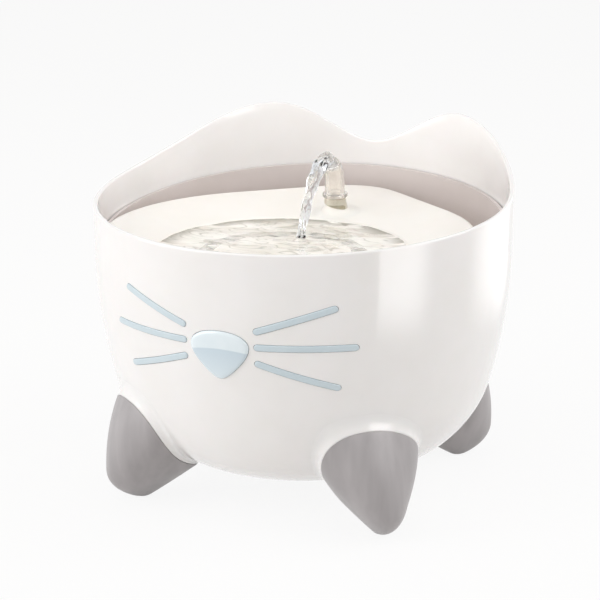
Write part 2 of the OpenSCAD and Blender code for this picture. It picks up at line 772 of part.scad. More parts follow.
module power_socket() color(dark) translate([0, 0, socket_z]) {
    difference() {
        union() {
            y_rod(socket_r, socket_back_y, socket_face_y + eps);
            y_rod(socket_flange_r, socket_face_y, socket_face_y + socket_flange_t);
        }
        y_rod(plug_hole_r, socket_face_y + socket_flange_t - plug_hole_l,
            socket_face_y + socket_flange_t + 1);
    }
    y_rod(plug_pin_r, socket_face_y + socket_flange_t - plug_hole_l - eps,
        socket_face_y + socket_flange_t - 1, small_fn);
}

module socket_nut() color(steel) translate([0, 0, socket_z]) difference() {
    y_rod(nut_r, nut_seat_y - nut_t, nut_seat_y, 6);
    y_rod(socket_r + run_gap, nut_seat_y - nut_t - 1, nut_seat_y + 1);
}

module light_lead() color(dark) lead(light_route, light_lead_r);

module pump_lead() color(dark) lead(pump_route, pump_lead_r);

module lead_grommet() color(rubber_grey)
    rotate([0, 0, grommet_at]) translate([0, 0, grommet_z]) difference() {
    union() {
        y_rod(grommet_r, grommet_in_y - grommet_lip_t, grommet_out_y + grommet_lip_t);
        y_rod(grommet_lip_r, grommet_in_y - grommet_lip_t, grommet_in_y);
        y_rod(grommet_lip_r, grommet_out_y, grommet_out_y + grommet_lip_t);
    }
    y_rod(pump_lead_r + lead_gap, grommet_in_y - grommet_lip_t - 1, grommet_out_y + grommet_lip_t + 1);
}

// Outline of the drinking top, moved inwards by d
module lip_outline(d) intersection() {
    hull() {
        translate([0, -lip_front_y]) circle(lip_front_r - d, $fn = lip_fn);
        translate([0, lip_lobe_y]) circle(lip_lobe_r - d, $fn = lip_fn / 2);
    }
    circle(top_clip_r - d, $fn = lip_fn);
}

// Disc as wide as the pool, its top at height z
module pool_disc(r, z) translate([0, -pool_y, z - pool_lap]) cylinder(r = r, h = pool_lap, $fn = lip_fn);

// Local frame of the spout: its seat is the XY plane, water leaves along +Z
module at_spout() translate([0, spout_y, spout_z]) rotate([spout_lean, 0, 0]) children();

// Solid form of the dish and its skirt
module dish_form() {
    hull() {
        translate([0, 0, lip_z - lip_roll_h]) linear_extrude(lip_roll_h) lip_outline(0);
        pool_disc(basin_out_r, pool_brim_z - slope_drop);
    }
    translate([0, 0, ledge_z]) linear_extrude(lip_z - ledge_z - lip_roll_h / 2) difference() {
        lip_outline(skirt_inset);
        lip_outline(skirt_inset + top_wall);
    }
    translate([0, -pool_y, 0]) rotate_extrude() polygon([
        [0, pool_floor_z - top_wall], [pool_floor_r, pool_floor_z - top_wall],
        [basin_out_r - basin_step, pool_brim_z - slope_drop],
        [basin_out_r - basin_step, pool_brim_z - slope_drop / 2], [0, pool_brim_z - slope_drop / 2]]);
}

// Room above the dish's slope and in its pool
module dish_room() {
    hull() {
        translate([0, 0, lip_z]) linear_extrude(1) lip_outline(lip_w);
        pool_disc(pool_r, pool_brim_z);
    }
    translate([0, -pool_y, 0]) rotate_extrude() polygon([
        [0, pool_floor_z], [pool_floor_r, pool_floor_z], [pool_r - basin_step, pool_brim_z],
        [pool_r - basin_step, pool_brim_z + basin_step], [0, pool_brim_z + basin_step]]);
}

module drinking_top() color(cream) difference() {
    union() {
        difference() {
            dish_form();
            dish_room();
        }
        at_spout() translate([0, 0, -neck_l])
            cylinder(r1 = neck_foot_r, r2 = neck_top_r, h = neck_l, $fn = 64);
        translate([0, riser_y, socket_low_z])
            cylinder(r = riser_boss_r, h = boss_top_z - socket_low_z, $fn = 64);
    }
    at_spout() {
        translate([0, 0, -plug_l - 0.5]) cylinder(r = seat_r, h = plug_l + 1, $fn = 64);
        translate([0, 0, -neck_l - 1.5]) cylinder(r = bore_r, h = neck_l, $fn = 48);
    }
    translate([0, riser_y, socket_low_z - 1]) {
        cylinder(r = riser_r + run_gap, h = socket_stop_z - socket_low_z + 1, $fn = 64);
        cylinder(r = bore_r, h = boss_top_z - socket_low_z - 1, $fn = 48);
    }
    translate([0, -pool_y, 0]) for (i = [0:slot_count - 1])
        rotate([0, 0, -90 + slot_step * (i - (slot_count - 1) / 2)])
            translate([slot_r, -slot_w / 2, pool_floor_z]) cube([slot_l, slot_w, lip_z - pool_floor_z]);
}

module riser_tube() color(clear) translate([0, riser_y, 0]) difference() {
    translate([0, 0, pump_top_z + riser_low_gap])
        cylinder(r = riser_r, h = socket_stop_z - pump_top_z - riser_low_gap, $fn = 64);
    translate([0, 0, pump_top_z])
        cylinder(r = outlet_r + run_gap, h = socket_stop_z - pump_top_z + 1, $fn = 64);
}

module riser_seal() color(rubber_grey) translate([0, riser_y, pump_top_z + outlet_l - 3])
    rotate_extrude() translate([outlet_r - seal_r, 0]) circle(seal_r - 0.03, $fn = small_fn);

module nozzle() color(clear) at_spout() difference() {
    union() {
        translate([0, 0, -plug_l]) cylinder(r = plug_r, h = plug_l + collar_h / 2, $fn = 48);
        cylinder(r = collar_r, h = collar_h, $fn = 48);
        nozzle_curve(nozzle_r, 0, 0);
    }
    nozzle_curve(bore_r, plug_l + 1, 1);
    translate([0, 0, oring_y]) rotate_extrude()
        translate([plug_r - groove_d, -groove_d / 2 - 0.1]) square([groove_d + 1, groove_d + 0.2]);
}

// Straight part, bend and mouth of the nozzle as a rod of radius r, longer by e0 and e1 at its ends
module nozzle_curve(r, e0, e1) {
    translate([0, 0, -e0]) cylinder(r = r, h = nozzle_rise + bend_lap + e0, $fn = 48);
    translate([0, -nozzle_bend_r, nozzle_rise]) {
        rotate([90, 0, 90]) rotate_extrude(angle = nozzle_bend)
            translate([nozzle_bend_r, 0]) circle(r - bend_step, $fn = 48);
        rotate([nozzle_bend, 0, 0]) translate([0, nozzle_bend_r, -bend_lap])
            cylinder(r = r, h = nozzle_mouth + bend_lap + e1, $fn = 48);
    }
}

module nozzle_seal() color(rubber_grey) at_spout() translate([0, 0, oring_y])
    rotate_extrude() translate([plug_r - groove_d / 2, 0]) circle(oring_r, $fn = small_fn);

module at_axis() translate([0, pump_y, axis_z]) children();

// Box of the pump, x0 to x1, with w taken off all round
module pump_block(x0, x1, w) translate([x0, pump_y - pump_d / 2 + w, pump_z + w])
    cube([x1 - x0, pump_d - 2 * w, pump_h - 2 * w]);

module at_cups() for (x = cup_x, y = [-cup_dy, cup_dy]) translate([x, pump_y + y, 0]) children();

module pump_body() color(dark) difference() {
    union() {
        difference() {
            pump_block(-pump_tail + pump_wall, chamber_half, 0);
            difference() {
                pump_block(-pump_tail, -chamber_half - pump_wall, pump_wall);
                at_axis() x_rod(well_r + well_wall, -well_end - bush_l - well_wall, 0);
            }
        }
        translate([0, riser_y, pump_top_z - eps]) cylinder(r = outlet_r, h = outlet_l, $fn = 48);
    }
    at_axis() {
        x_rod(chamber_r, -chamber_half, chamber_half + 1, 64);
        x_rod(well_r, -well_end, 0);
        x_rod(bush_r + run_gap, -well_end - bush_l, 0);
    }
    translate([0, riser_y, axis_z]) cylinder(r = outlet_bore_r, h = pump_h + outlet_l, $fn = 48);
    translate([0, riser_y, pump_top_z + outlet_l - 3]) rotate_extrude()
        translate([outlet_r - 2 * seal_r, -seal_r - 0.1]) square([2 * seal_r + 1, 2 * seal_r + 0.2]);
    at_cups() translate([0, 0, pump_z - 1]) cylinder(r = cup_stem_r + run_gap, h = 2, $fn = small_fn);
    translate([-pump_tail - 1, lead_y, grommet_z]) x_rod(pump_lead_r + lead_gap, 0, 3, small_fn);
}

module pump_end_cap() color(dark) difference() {
    pump_block(-pump_tail, -pump_tail + pump_wall, 0);
    translate([0, lead_y, grommet_z])
        x_rod(pump_lead_r + lead_gap, -pump_tail - 1, -pump_tail + pump_wall + 1, small_fn);
}

module stator_core() color(steel) difference() {
    translate([core_x, pump_y - core_half_d, pump_z + core_low])
        cube([core_l, 2 * core_half_d, axis_h - core_low + core_bore_r + core_crown]);
    at_axis() x_rod(core_bore_r, core_x - 1, core_x + core_l + 1);
    translate([core_x - 1, pump_y - window_half, pump_z + core_low + yoke_h])
        cube([core_l + 2, 2 * window_half, window_h]);
    translate([core_x - 1, pump_y - core_slot / 2, axis_z]) cube([core_l + 2, core_slot, pump_h]);
}

module stator_coil() color(copper) difference() {
    translate([core_x - coil_over, pump_y - window_half + coil_gap, pump_z + pump_wall + lead_gap])
        cube([core_l + 2 * coil_over, 2 * (window_half - coil_gap), coil_h]);
    translate([core_x - coil_gap, pump_y - window_half - 1, pump_z + core_low - coil_gap])
        cube([core_l + 2 * coil_gap, 2 * window_half + 2, yoke_h + 2 * coil_gap]);
}

module impeller() color(white) at_axis() difference() {
    union() {
        x_rod(hub_r, -chamber_half - magnet_l - hub_tail, blade_x + disc_t + blade_l);
        x_rod(impeller_r, blade_x, blade_x + disc_t, 64);
        for (i = [0:blade_count - 1]) rotate([360 * i / blade_count, 0, 0])
            translate([blade_x, -blade_t / 2, hub_r - blade_root])
                cube([disc_t + blade_l, blade_t, impeller_r - hub_r]);
    }
    x_rod(bush_bore, -well_end, chamber_half, small_fn);
}

module rotor_magnet() color([0.25, 0.25, 0.27]) at_axis() difference() {
    x_rod(magnet_r, -chamber_half - magnet_l, -chamber_half);
    x_rod(hub_r + run_gap, -well_end, 0);
}

module impeller_shaft() color([0.9, 0.9, 0.88]) at_axis()
    x_rod(shaft_r, -well_end - bush_l + 0.2, chamber_half + cover_t - 1, small_fn);

module rear_bush() color(rubber_grey) at_axis() difference() {
    x_rod(bush_r, -well_end - bush_l + 0.1, -well_end);
    x_rod(bush_bore, -well_end - bush_l, 0, small_fn);
}

module front_bush() color(rubber_grey) at_axis() difference() {
    x_rod(front_bush_r, chamber_half - 1.5, chamber_half + cover_t - bush_floor - knob_gap);
    x_rod(bush_bore, 0, chamber_half + cover_t, small_fn);
}

module pump_cover() color(dark) difference() {
    union() {
        pump_block(chamber_half, chamber_half + cover_t, 0);
        at_axis() {
            x_rod(drum_r, chamber_half, chamber_half + cover_t + drum_l);
            difference() {
                x_rod(chamber_r - lead_gap, chamber_half - spigot_l, chamber_half + eps, 64);
                x_rod(chamber_r - lead_gap - spigot_t, 0, chamber_half, 64);
            }
        }
    }
    at_axis() {
        difference() {
            x_rod(intake_r, 0, chamber_half + cover_t + 1);
            x_rod(hub_r, 0, chamber_half + cover_t + 2);
            for (a = [0, 60, 120]) rotate([a, 0, 0]) translate([0, -intake_r - 1, -spider_t / 2])
                cube([chamber_half + cover_t + 2, 2 * intake_r + 2, spider_t]);
        }
        x_rod(drum_r - end_wall, chamber_half + cover_t, chamber_half + cover_t + drum_l - end_wall);
        x_rod(knob_pin_r + run_gap, chamber_half + cover_t, chamber_half + cover_t + drum_l + 1, small_fn);
        x_rod(front_bush_r + run_gap, 0, chamber_half + cover_t - bush_floor);
        for (a = [0:90:270]) rotate([a, 0, 0]) translate([0, 0, drum_hole_at])
            x_rod(drum_hole_r, chamber_half + cover_t + 1, chamber_half + cover_t + drum_l + 1, small_fn);
    }
}

module flow_knob() color(grey)
    at_axis() translate([chamber_half + cover_t + drum_l + knob_gap, 0, 0]) difference() {
    union() {
        x_rod(drum_r, 0, knob_t);
        x_rod(knob_pin_r, -end_wall - knob_gap - 0.3, eps, small_fn);
        x_rod(knob_pin_r + 0.5, -end_wall - knob_gap - 1.2, -end_wall - 2 * knob_gap - 0.1, small_fn);
        translate([0, -pointer_w / 2, drum_r - 1]) cube([knob_t, pointer_w, pointer_h]);
    }
    for (a = [0:90:270]) rotate([a, 0, 0]) translate([0, 0, drum_hole_at])
        x_rod(drum_hole_r, -1, knob_t + 1, small_fn);
}

module suction_cups() color(rubber_grey) at_cups() translate([0, 0, water_floor_z]) difference() {
    union() {
        cylinder(r1 = cup_r, r2 = cup_stem_r + 0.8, h = cup_h - 1, $fn = small_fn);
        cylinder(r = cup_stem_r + 0.8, h = cup_h, $fn = small_fn);
        cylinder(r = cup_stem_r, h = cup_h + 0.8, $fn = small_fn);
    }
    translate([0, 0, -1]) cylinder(r1 = cup_r + 0.4, r2 = 0.8, h = cup_h - 0.8, $fn = small_fn);
}

// Outline of the hood, moved inwards by d
module hood_outline(d) intersection() {
    translate([-hood_half_w + d, hood_front_y + d]) square([2 * (hood_half_w - d), bowl_r]);
    circle(hood_r - d);
}

module pump_hood() color([0.86, 0.88, 0.90]) difference() {
    union() {
        translate([0, 0, hood_low_z]) linear_extrude(hood_roof_z + hood_wall - hood_low_z) hood_outline(0);
        translate([-pocket_half_w, pocket_out_y, hood_low_z])
            cube([2 * pocket_half_w, hood_front_y - pocket_out_y + eps,
                pocket_floor_z - hood_low_z + pocket_h]);
    }
    translate([0, 0, hood_low_z - 1]) linear_extrude(hood_roof_z - hood_low_z + 1) hood_outline(hood_wall);
    translate([-pocket_half_w + hood_wall, pocket_out_y + hood_wall, pocket_floor_z])
        cube([2 * (pocket_half_w - hood_wall), hood_front_y - pocket_out_y - hood_wall, filter_h + 20]);
    translate([-filter_w / 2 + filter_rim, pocket_out_y - 1, pocket_floor_z + filter_rim])
        cube([filter_w - 2 * filter_rim, hood_front_y - pocket_out_y + hood_wall + 2,
            pocket_h - 2 * filter_rim]);
    translate([0, riser_y, hood_roof_z - 1]) cylinder(r = riser_hole_r, h = hood_wall + 2, $fn = 48);
    translate([-hood_half_w - 1, lead_y - lead_notch_w / 2, hood_low_z - 1])
        cube([hood_wall + 2, lead_notch_w, grommet_z - hood_low_z + lead_notch_w / 2 + 1]);
}

module filter_frame() color(white) difference() {
    union() {
        translate([-filter_w / 2, filter_y, filter_z]) cube([filter_w, filter_t, filter_h]);
        translate([-tab_w / 2, filter_y + filter_t / 2 - 1, filter_z + filter_h - eps])
            cube([tab_w, 2, tab_h]);
    }
    translate([-filter_w / 2 + filter_rim, filter_y + grid_t, filter_z + filter_rim])
        cube([filter_w - 2 * filter_rim, filter_t, filter_h - 2 * filter_rim]);
    for (x = [-filter_w / 2 + filter_rim:grid_pitch:filter_w / 2 - filter_rim - grid_pitch / 2])
        translate([x + grid_t, filter_y - 1, filter_z + filter_rim + 1])
            cube([grid_pitch - 2 * grid_t, grid_t + 2, filter_h - 2 * filter_rim - 2]);
}

// Pad inside the filter frame, from depth y0 to y1
module filter_pad(y0, y1)
    translate([-pad_w / 2, filter_y + y0, filter_z + filter_rim + seat_gap])
        cube([pad_w, y1 - y0, filter_h - 2 * (filter_rim + seat_gap)]);

module filter_foam() color(foam_blue) filter_pad(filter_t - foam_t, filter_t);

module filter_carbon() color(dark) filter_pad(grid_t, filter_t - foam_t);

outer_shell();
inner_tank();
foot_cap(0);  // foot_cap_front_left
foot_cap(1);  // foot_cap_front_right
foot_cap(2);  // foot_cap_rear_right
foot_cap(3);  // foot_cap_rear_left
foot_screws();
tank_screws();
nose_window();
whisker_windows();
light_guide();
light_housing();
light_housing_screws();
light_board();
light_lamps();
power_socket();
socket_nut();
light_lead();
pump_lead();
lead_grommet();
drinking_top();
riser_tube();
riser_seal();
nozzle();
nozzle_seal();
pump_body();
pump_end_cap();
stator_core();
stator_coil();
impeller();
rotor_magnet();
impeller_shaft();
rear_bush();
front_bush();
pump_cover();
flow_knob();
suction_cups();
pump_hood();
filter_frame();
filter_foam();
filter_carbon();
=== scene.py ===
# Pet water fountain: shell, feet, drinking top, spout and running water, dressed around the CAD
# frame. The floor is Z 0 and the face looks along -Y. Sizes are in millimetres, which mm turns
# into metres; the studio's own sizes are in metres.
import json
from functools import lru_cache
from math import acos, asin, atan2, cos, degrees, exp, hypot, pi, radians, sin, sqrt, tau

import bpy
from mathutils import Matrix, Vector, noise

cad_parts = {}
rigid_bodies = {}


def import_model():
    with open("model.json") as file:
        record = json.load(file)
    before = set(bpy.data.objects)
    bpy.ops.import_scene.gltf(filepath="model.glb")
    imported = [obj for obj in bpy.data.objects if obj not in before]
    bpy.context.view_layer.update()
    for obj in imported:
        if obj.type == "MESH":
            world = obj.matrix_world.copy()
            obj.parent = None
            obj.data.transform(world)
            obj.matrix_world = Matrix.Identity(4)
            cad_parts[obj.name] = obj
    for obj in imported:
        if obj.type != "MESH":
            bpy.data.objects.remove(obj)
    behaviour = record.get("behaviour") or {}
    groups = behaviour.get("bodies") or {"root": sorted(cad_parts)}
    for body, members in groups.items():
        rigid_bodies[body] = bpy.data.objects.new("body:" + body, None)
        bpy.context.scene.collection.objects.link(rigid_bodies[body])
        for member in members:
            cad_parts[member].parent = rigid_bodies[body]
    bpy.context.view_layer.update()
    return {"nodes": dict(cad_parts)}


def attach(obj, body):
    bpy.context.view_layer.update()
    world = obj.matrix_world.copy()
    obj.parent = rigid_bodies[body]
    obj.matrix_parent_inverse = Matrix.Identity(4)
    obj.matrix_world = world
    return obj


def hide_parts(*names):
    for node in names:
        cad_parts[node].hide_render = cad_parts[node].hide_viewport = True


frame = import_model()
mm = 0.001


def turns(steps):
    # angles of evenly spaced points round a circle
    return [tau * j / steps for j in range(steps)]


def linear(hexColour):
    # sRGB hex to scene-linear
    parts = [int(hexColour[i:i + 2], 16) / 255 for i in (1, 3, 5)]
    return tuple(c / 12.92 if c <= 0.04045 else ((c + 0.055) / 1.055) ** 2.4
                 for c in parts) + (1.0,)


def clearSelection():
    if bpy.context.object and bpy.context.object.mode != "OBJECT":
        bpy.ops.object.mode_set(mode="OBJECT")
    for o in bpy.context.view_layer.objects:
        o.select_set(False)


def pick(obj):
    clearSelection()
    obj.select_set(True)
    bpy.context.view_layer.objects.active = obj


def addObject(name, points, edges=(), faces=()):
    mesh = bpy.data.meshes.new(name)
    mesh.from_pydata([Vector(p) * mm for p in points], list(edges), list(faces))
    obj = bpy.data.objects.new(name, mesh)
    bpy.context.scene.collection.objects.link(obj)
    return obj


def tidyMesh(obj):
    pick(obj)
    bpy.ops.object.mode_set(mode="EDIT")
    bpy.ops.mesh.select_all(action="SELECT")
    bpy.ops.mesh.remove_doubles(threshold=1e-6)
    bpy.ops.mesh.normals_make_consistent(inside=False)
    bpy.ops.object.mode_set(mode="OBJECT")


def turnProfile(name, profile, steps):
    # profile (radius, height) spun round the Z axis
    edges = [(i, i + 1) for i in range(len(profile) - 1)]
    obj = addObject(name, [(r, 0, z) for r, z in profile], edges)
    pick(obj)
    bpy.ops.object.mode_set(mode="EDIT")
    bpy.ops.mesh.select_all(action="SELECT")
    bpy.ops.mesh.spin(steps=steps, angle=tau, center=(0, 0, 0), axis=(0, 0, 1))
    bpy.ops.object.mode_set(mode="OBJECT")
    tidyMesh(obj)
    return obj


def skinRows(name, rows, closed=True, looped=False):
    # rows of points joined into one skin; closed fills both ends, looped joins last row to first
    n, count = len(rows[0]), len(rows)
    points = [p for row in rows for p in row]
    faces = []
    for i in range(count if looped else count - 1):
        k = (i + 1) % count
        for j in range(n):
            beside = (j + 1) % n
            faces.append((i * n + j, i * n + beside, k * n + beside, k * n + j))
    if closed and not looped:
        for end in (0, count - 1):
            points.append(tuple(sum((Vector(p) for p in rows[end]), Vector()) / n))
            for j in range(n):
                a, b = end * n + j, end * n + (j + 1) % n
                faces.append((a, b, len(points) - 1) if end else (b, a, len(points) - 1))
    obj = addObject(name, points, faces=faces)
    tidyMesh(obj)
    return obj


def joinPieces(main, *others):
    clearSelection()
    for o in (*others, main):
        o.select_set(True)
    bpy.context.view_layer.objects.active = main
    bpy.ops.object.join()
    return main


def cutAway(obj, cutter):
    pick(obj)
    cut = obj.modifiers.new("cut", "BOOLEAN")
    cut.operation = "DIFFERENCE"
    cut.solver = "EXACT"
    cut.object = cutter
    bpy.ops.object.modifier_apply(modifier=cut.name)
    bpy.data.objects.remove(cutter)


def finishPiece(obj, body, material, nodes=(), angle=40):
    obj.data.materials.clear()
    obj.data.materials.append(material)
    pick(obj)
    bpy.ops.object.shade_smooth_by_angle(angle=radians(angle))
    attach(obj, body)
    if nodes:
        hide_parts(*nodes)
    return obj


def lastTrue(low, high, test):
    # greatest value for which the test holds, found by halving
    for _ in range(40):
        middle = (low + high) / 2
        if test(middle):
            low = middle
        else:
            high = middle
    return low


def addNode(tree, kind, settings=None):
    # settings: node attributes, or inputs by name or number, each a value or another node's output
    node = tree.nodes.new(kind)
    for key, value in (settings or {}).items():
        if isinstance(value, bpy.types.NodeSocket):
            tree.links.new(value, node.inputs[key])
        elif isinstance(key, str) and hasattr(node, key):
            setattr(node, key, value)
        else:
            node.inputs[key].default_value = value
    return node


def noiseAt(tree, where, size, detail=2.0, **more):
    # soft noise with grains of about this size in mm
    settings = {"Vector": where, "Scale": 1000 / size, "Detail": detail, **more}
    return addNode(tree, "ShaderNodeTexNoise", settings).outputs["Fac"]


def mapValue(tree, value, fromMin=0.0, fromMax=1.0, toMin=0.0, toMax=1.0, kind="LINEAR"):
    return addNode(tree, "ShaderNodeMapRange", {
        "interpolation_type": kind, "Value": value, "From Min": fromMin, "From Max": fromMax,
        "To Min": toMin, "To Max": toMax}).outputs[0]


def mixColours(tree, share, first, second):
    # first where share is 0, second where it is 1, each a hex colour or a node's output
    first, second = (linear(c) if isinstance(c, str) else c for c in (first, second))
    return addNode(tree, "ShaderNodeMixRGB", {"Fac": share, 1: first, 2: second}).outputs[0]


def compute(tree, operation, *values):
    settings = {"operation": operation, **dict(enumerate(values))}
    return addNode(tree, "ShaderNodeMath", settings).outputs[0]


def stretchCoords(tree, coords, scale):
    return addNode(tree, "ShaderNodeMapping", {"Vector": coords, "Scale": scale}).outputs[0]


def bumpFrom(tree, height, strength, depth):
    settings = {"Height": height, "Strength": strength, "Distance": depth * mm}
    return addNode(tree, "ShaderNodeBump", settings).outputs[0]


def newMaterial(name):
    material = bpy.data.materials.new(name)
    material.use_nodes = True
    tree = material.node_tree
    tree.nodes.clear()
    return material, tree, addNode(tree, "ShaderNodeTexCoord").outputs["Object"]


def closeMaterial(tree, shader):
    addNode(tree, "ShaderNodeOutputMaterial", {"Surface": shader.outputs[0]})


def closePrincipled(tree, settings):
    closeMaterial(tree, addNode(tree, "ShaderNodeBsdfPrincipled", settings))


plasticLook = {"flowMin": 0.36, "flowMax": 0.64, "flowDetail": 3.0, "flowRough": 0.55,
               "roughSpread": 0.12, "bump": 0.35, "coatRough": 0.08, "softDepth": 4}


def mouldedPlastic(name, colour, shade, roughness, grain, depth, patch=35, ior=1.53, coat=0.0,
                   soft=0.0, drawn=1.0):
    # colour and shade: hex of the plain and of the slightly darker flow marks; grain, its depth
    # and the marks' patch in mm; drawn below 1 pulls the marks out into upright streaks
    look = plasticLook
    material, tree, coords = newMaterial(name)
    flow = noiseAt(tree, stretchCoords(tree, coords, (1, 1, drawn)), patch, look["flowDetail"],
                   Roughness=look["flowRough"])
    amount = mapValue(tree, flow, look["flowMin"], look["flowMax"])
    fine = noiseAt(tree, coords, grain)
    spread = roughness * look["roughSpread"]
    closePrincipled(tree, {
        "Base Color": mixColours(tree, amount, colour, shade),
        "Roughness": mapValue(tree, fine, toMin=roughness - spread, toMax=roughness + spread),
        "Normal": bumpFrom(tree, fine, look["bump"], depth),
        "IOR": ior, "Coat Weight": coat, "Coat Roughness": look["coatRough"],
        "Subsurface Weight": soft, "Subsurface Scale": look["softDepth"] * mm})
    return material


resinLook = {"cloud": 9, "bump": 0.4}


def clearPlastic(name, colour, shade, roughness, transmission, grain, depth, ior=1.58):
    # see-through resin: a little cloudy, with faint flow marks
    material, tree, coords = newMaterial(name)
    flow = noiseAt(tree, coords, resinLook["cloud"])
    closePrincipled(tree, {
        "Base Color": mixColours(tree, flow, colour, shade),
        "Normal": bumpFrom(tree, noiseAt(tree, coords, grain), resinLook["bump"], depth),
        "IOR": ior, "Roughness": roughness, "Transmission Weight": transmission})
    return material


metalLook = {"detail": 4.0, "smoothest": 0.8, "roughest": 1.25, "bump": 0.2, "depth": 0.05}


def plainMetal(name, colour, shade, roughness, grain, stretch=(1, 1, 1)):
    # drawn or stamped metal: short tool marks along one direction
    look = metalLook
    material, tree, coords = newMaterial(name)
    marks = noiseAt(tree, stretchCoords(tree, coords, stretch), grain, look["detail"])
    closePrincipled(tree, {
        "Base Color": mixColours(tree, marks, colour, shade),
        "Roughness": mapValue(tree, marks, toMin=roughness * look["smoothest"],
                              toMax=roughness * look["roughest"]),
        "Normal": bumpFrom(tree, marks, look["bump"], look["depth"]), "Metallic": 1.0})
    return material


cellLook = {"bump": 0.8, "roughness": 0.9}


def cellMaterial(name, colour, shade, cell, depth):
    # open-celled foam or pressed granules
    material, tree, coords = newMaterial(name)
    settings = {"Vector": coords, "Scale": 1000 / cell}
    cells = addNode(tree, "ShaderNodeTexVoronoi", settings).outputs["Distance"]
    closePrincipled(tree, {
        "Base Color": mixColours(tree, cells, shade, colour),
        "Normal": bumpFrom(tree, cells, cellLook["bump"], depth),
        "Roughness": cellLook["roughness"]})
    return material


# Glossy white ABS, injection moulded in a polished tool: a clean soft-edged shine
glossAbsWhite = mouldedPlastic("glossAbsWhite", "#F4F2F1", "#F1EFED", 0.16, 0.9, 0.01,
                               coat=0.6, soft=0.03)
# Soft-touch grey TPE-coated ABS of the feet: broad dull shine, very fine grain
matteAbsGrey = mouldedPlastic("matteAbsGrey", "#AFABAC", "#9F9B9C", 0.36, 0.7, 0.03,
                              patch=14, drawn=0.14)
# Taupe ABS of the water tank, satin mould finish
satinAbsTaupe = mouldedPlastic("satinAbsTaupe", "#DDD4D1", "#D9D0CC", 0.34, 0.8, 0.03)
# Cream ABS of the drinking top, satin and slightly translucent
satinAbsCream = mouldedPlastic("satinAbsCream", "#F8F4EE", "#F5F1EA", 0.3, 0.9, 0.02, soft=0.05)
# Off-white polypropylene of hood, filter frame and impeller: waxy, half dull
waxyPolypropylene = mouldedPlastic("waxyPolypropylene", "#E3E6E8", "#DADEE1", 0.42, 0.9, 0.03,
                                   ior=1.49, soft=0.08)
# Black ABS of the pump, spark-eroded mould: even fine grain
grainedAbsBlack = mouldedPlastic("grainedAbsBlack", "#1C1D1F", "#242527", 0.5, 0.5, 0.06)
# Grey silicone rubber of seals, bushes, grommet and suction cups
siliconeGrey = mouldedPlastic("siliconeGrey", "#5B5D5F", "#525456", 0.55, 0.6, 0.03, ior=1.43)
# Black PVC of the leads' insulation, extruded: smooth with faint waves
pvcBlack = mouldedPlastic("pvcBlack", "#202124", "#2A2B2E", 0.38, 1.4, 0.03, ior=1.54)
# White alumina ceramic of the impeller shaft, ground
groundCeramic = mouldedPlastic("groundCeramic", "#F1EFEA", "#E7E4DD", 0.16, 0.4, 0.01, ior=1.76)
# Green solder mask on glass-fibre board: glossy varnish over a fine weave
maskedBoard = mouldedPlastic("maskedBoard", "#2E7A4C", "#266A41", 0.3, 0.6, 0.04, coat=0.4)
# Yellow silicone over the lamp chips
lampSilicone = mouldedPlastic("lampSilicone", "#F3E48C", "#EBD97A", 0.25, 0.8, 0.02,
                              ior=1.43, soft=0.1)
# Frosted polycarbonate of the spout's nozzle: cloudy, faintly warm
frostedPolycarbonate = clearPlastic("frostedPolycarbonate", "#F8F4EF", "#F0ECE6",
                                    0.16, 0.82, 0.8, 0.03)
# Clear polycarbonate of riser tube and light guide
clearPolycarbonate = clearPlastic("clearPolycarbonate", "#EEF2F2", "#E6ECEC",
                                  0.08, 0.85, 1.2, 0.01)
# Pale blue acrylic of the whiskers: polished, milky below the surface
milkyAcrylicBlue = clearPlastic("milkyAcrylicBlue", "#DCE9EF", "#D0E0E8",
                                0.08, 0.1, 2.0, 0.01, ior=1.49)
# Zinc-plated steel screws and nut
zincSteel = plainMetal("zincSteel", "#B9BCC0", "#9EA1A6", 0.28, 0.6)
# Stamped electrical steel of the stator: dark rolled sheets on edge
rolledSteel = plainMetal("rolledSteel", "#6F7276", "#4E5155", 0.45, 0.5, (18, 1, 1))
# Enamelled copper winding: turns of 0.25 mm wire
enamelledCopper = plainMetal("enamelledCopper", "#B5622F", "#7E3F1C", 0.3, 0.8, (6, 1, 1))
# Sintered ferrite magnet: dull dark grey, slightly granular
sinteredFerrite = plainMetal("sinteredFerrite", "#4A4B4F", "#38393C", 0.6, 0.3)
# Reticulated blue polyurethane foam, about 2 mm cells
filterFoam = cellMaterial("filterFoam", "#6F8CA6", "#34495C", 2.0, 0.8)
# Pressed activated-carbon granules, about 1.5 mm
pressedCarbon = cellMaterial("pressedCarbon", "#34353A", "#0E0E10", 1.5, 0.6)

# the CAD nodes that stay, by their finish
nodeFinishes = {
    satinAbsTaupe: ["inner_tank"],
    clearPolycarbonate: ["light_guide", "riser_tube"],
    waxyPolypropylene: ["light_housing", "impeller", "pump_hood", "filter_frame"],
    zincSteel: ["foot_screws", "tank_screws", "light_housing_screws", "socket_nut"],
    maskedBoard: ["light_board"],
    lampSilicone: ["light_lamps"],
    grainedAbsBlack: ["power_socket", "pump_body", "pump_end_cap", "pump_cover"],
    pvcBlack: ["light_lead", "pump_lead"],
    siliconeGrey: ["lead_grommet", "riser_seal", "nozzle_seal", "rear_bush", "front_bush",
                   "suction_cups"],
    rolledSteel: ["stator_core"],
    enamelledCopper: ["stator_coil"],
    sinteredFerrite: ["rotor_magnet"],
    groundCeramic: ["impeller_shaft"],
    matteAbsGrey: ["flow_knob"],
    filterFoam: ["filter_foam"],
    pressedCarbon: ["filter_carbon"],
}
for material, names in nodeFinishes.items():
    for name in names:
        node = frame["nodes"][name]
        node.data.materials.clear()
        node.data.materials.append(material)
print("finishes ready:", len(bpy.data.materials))


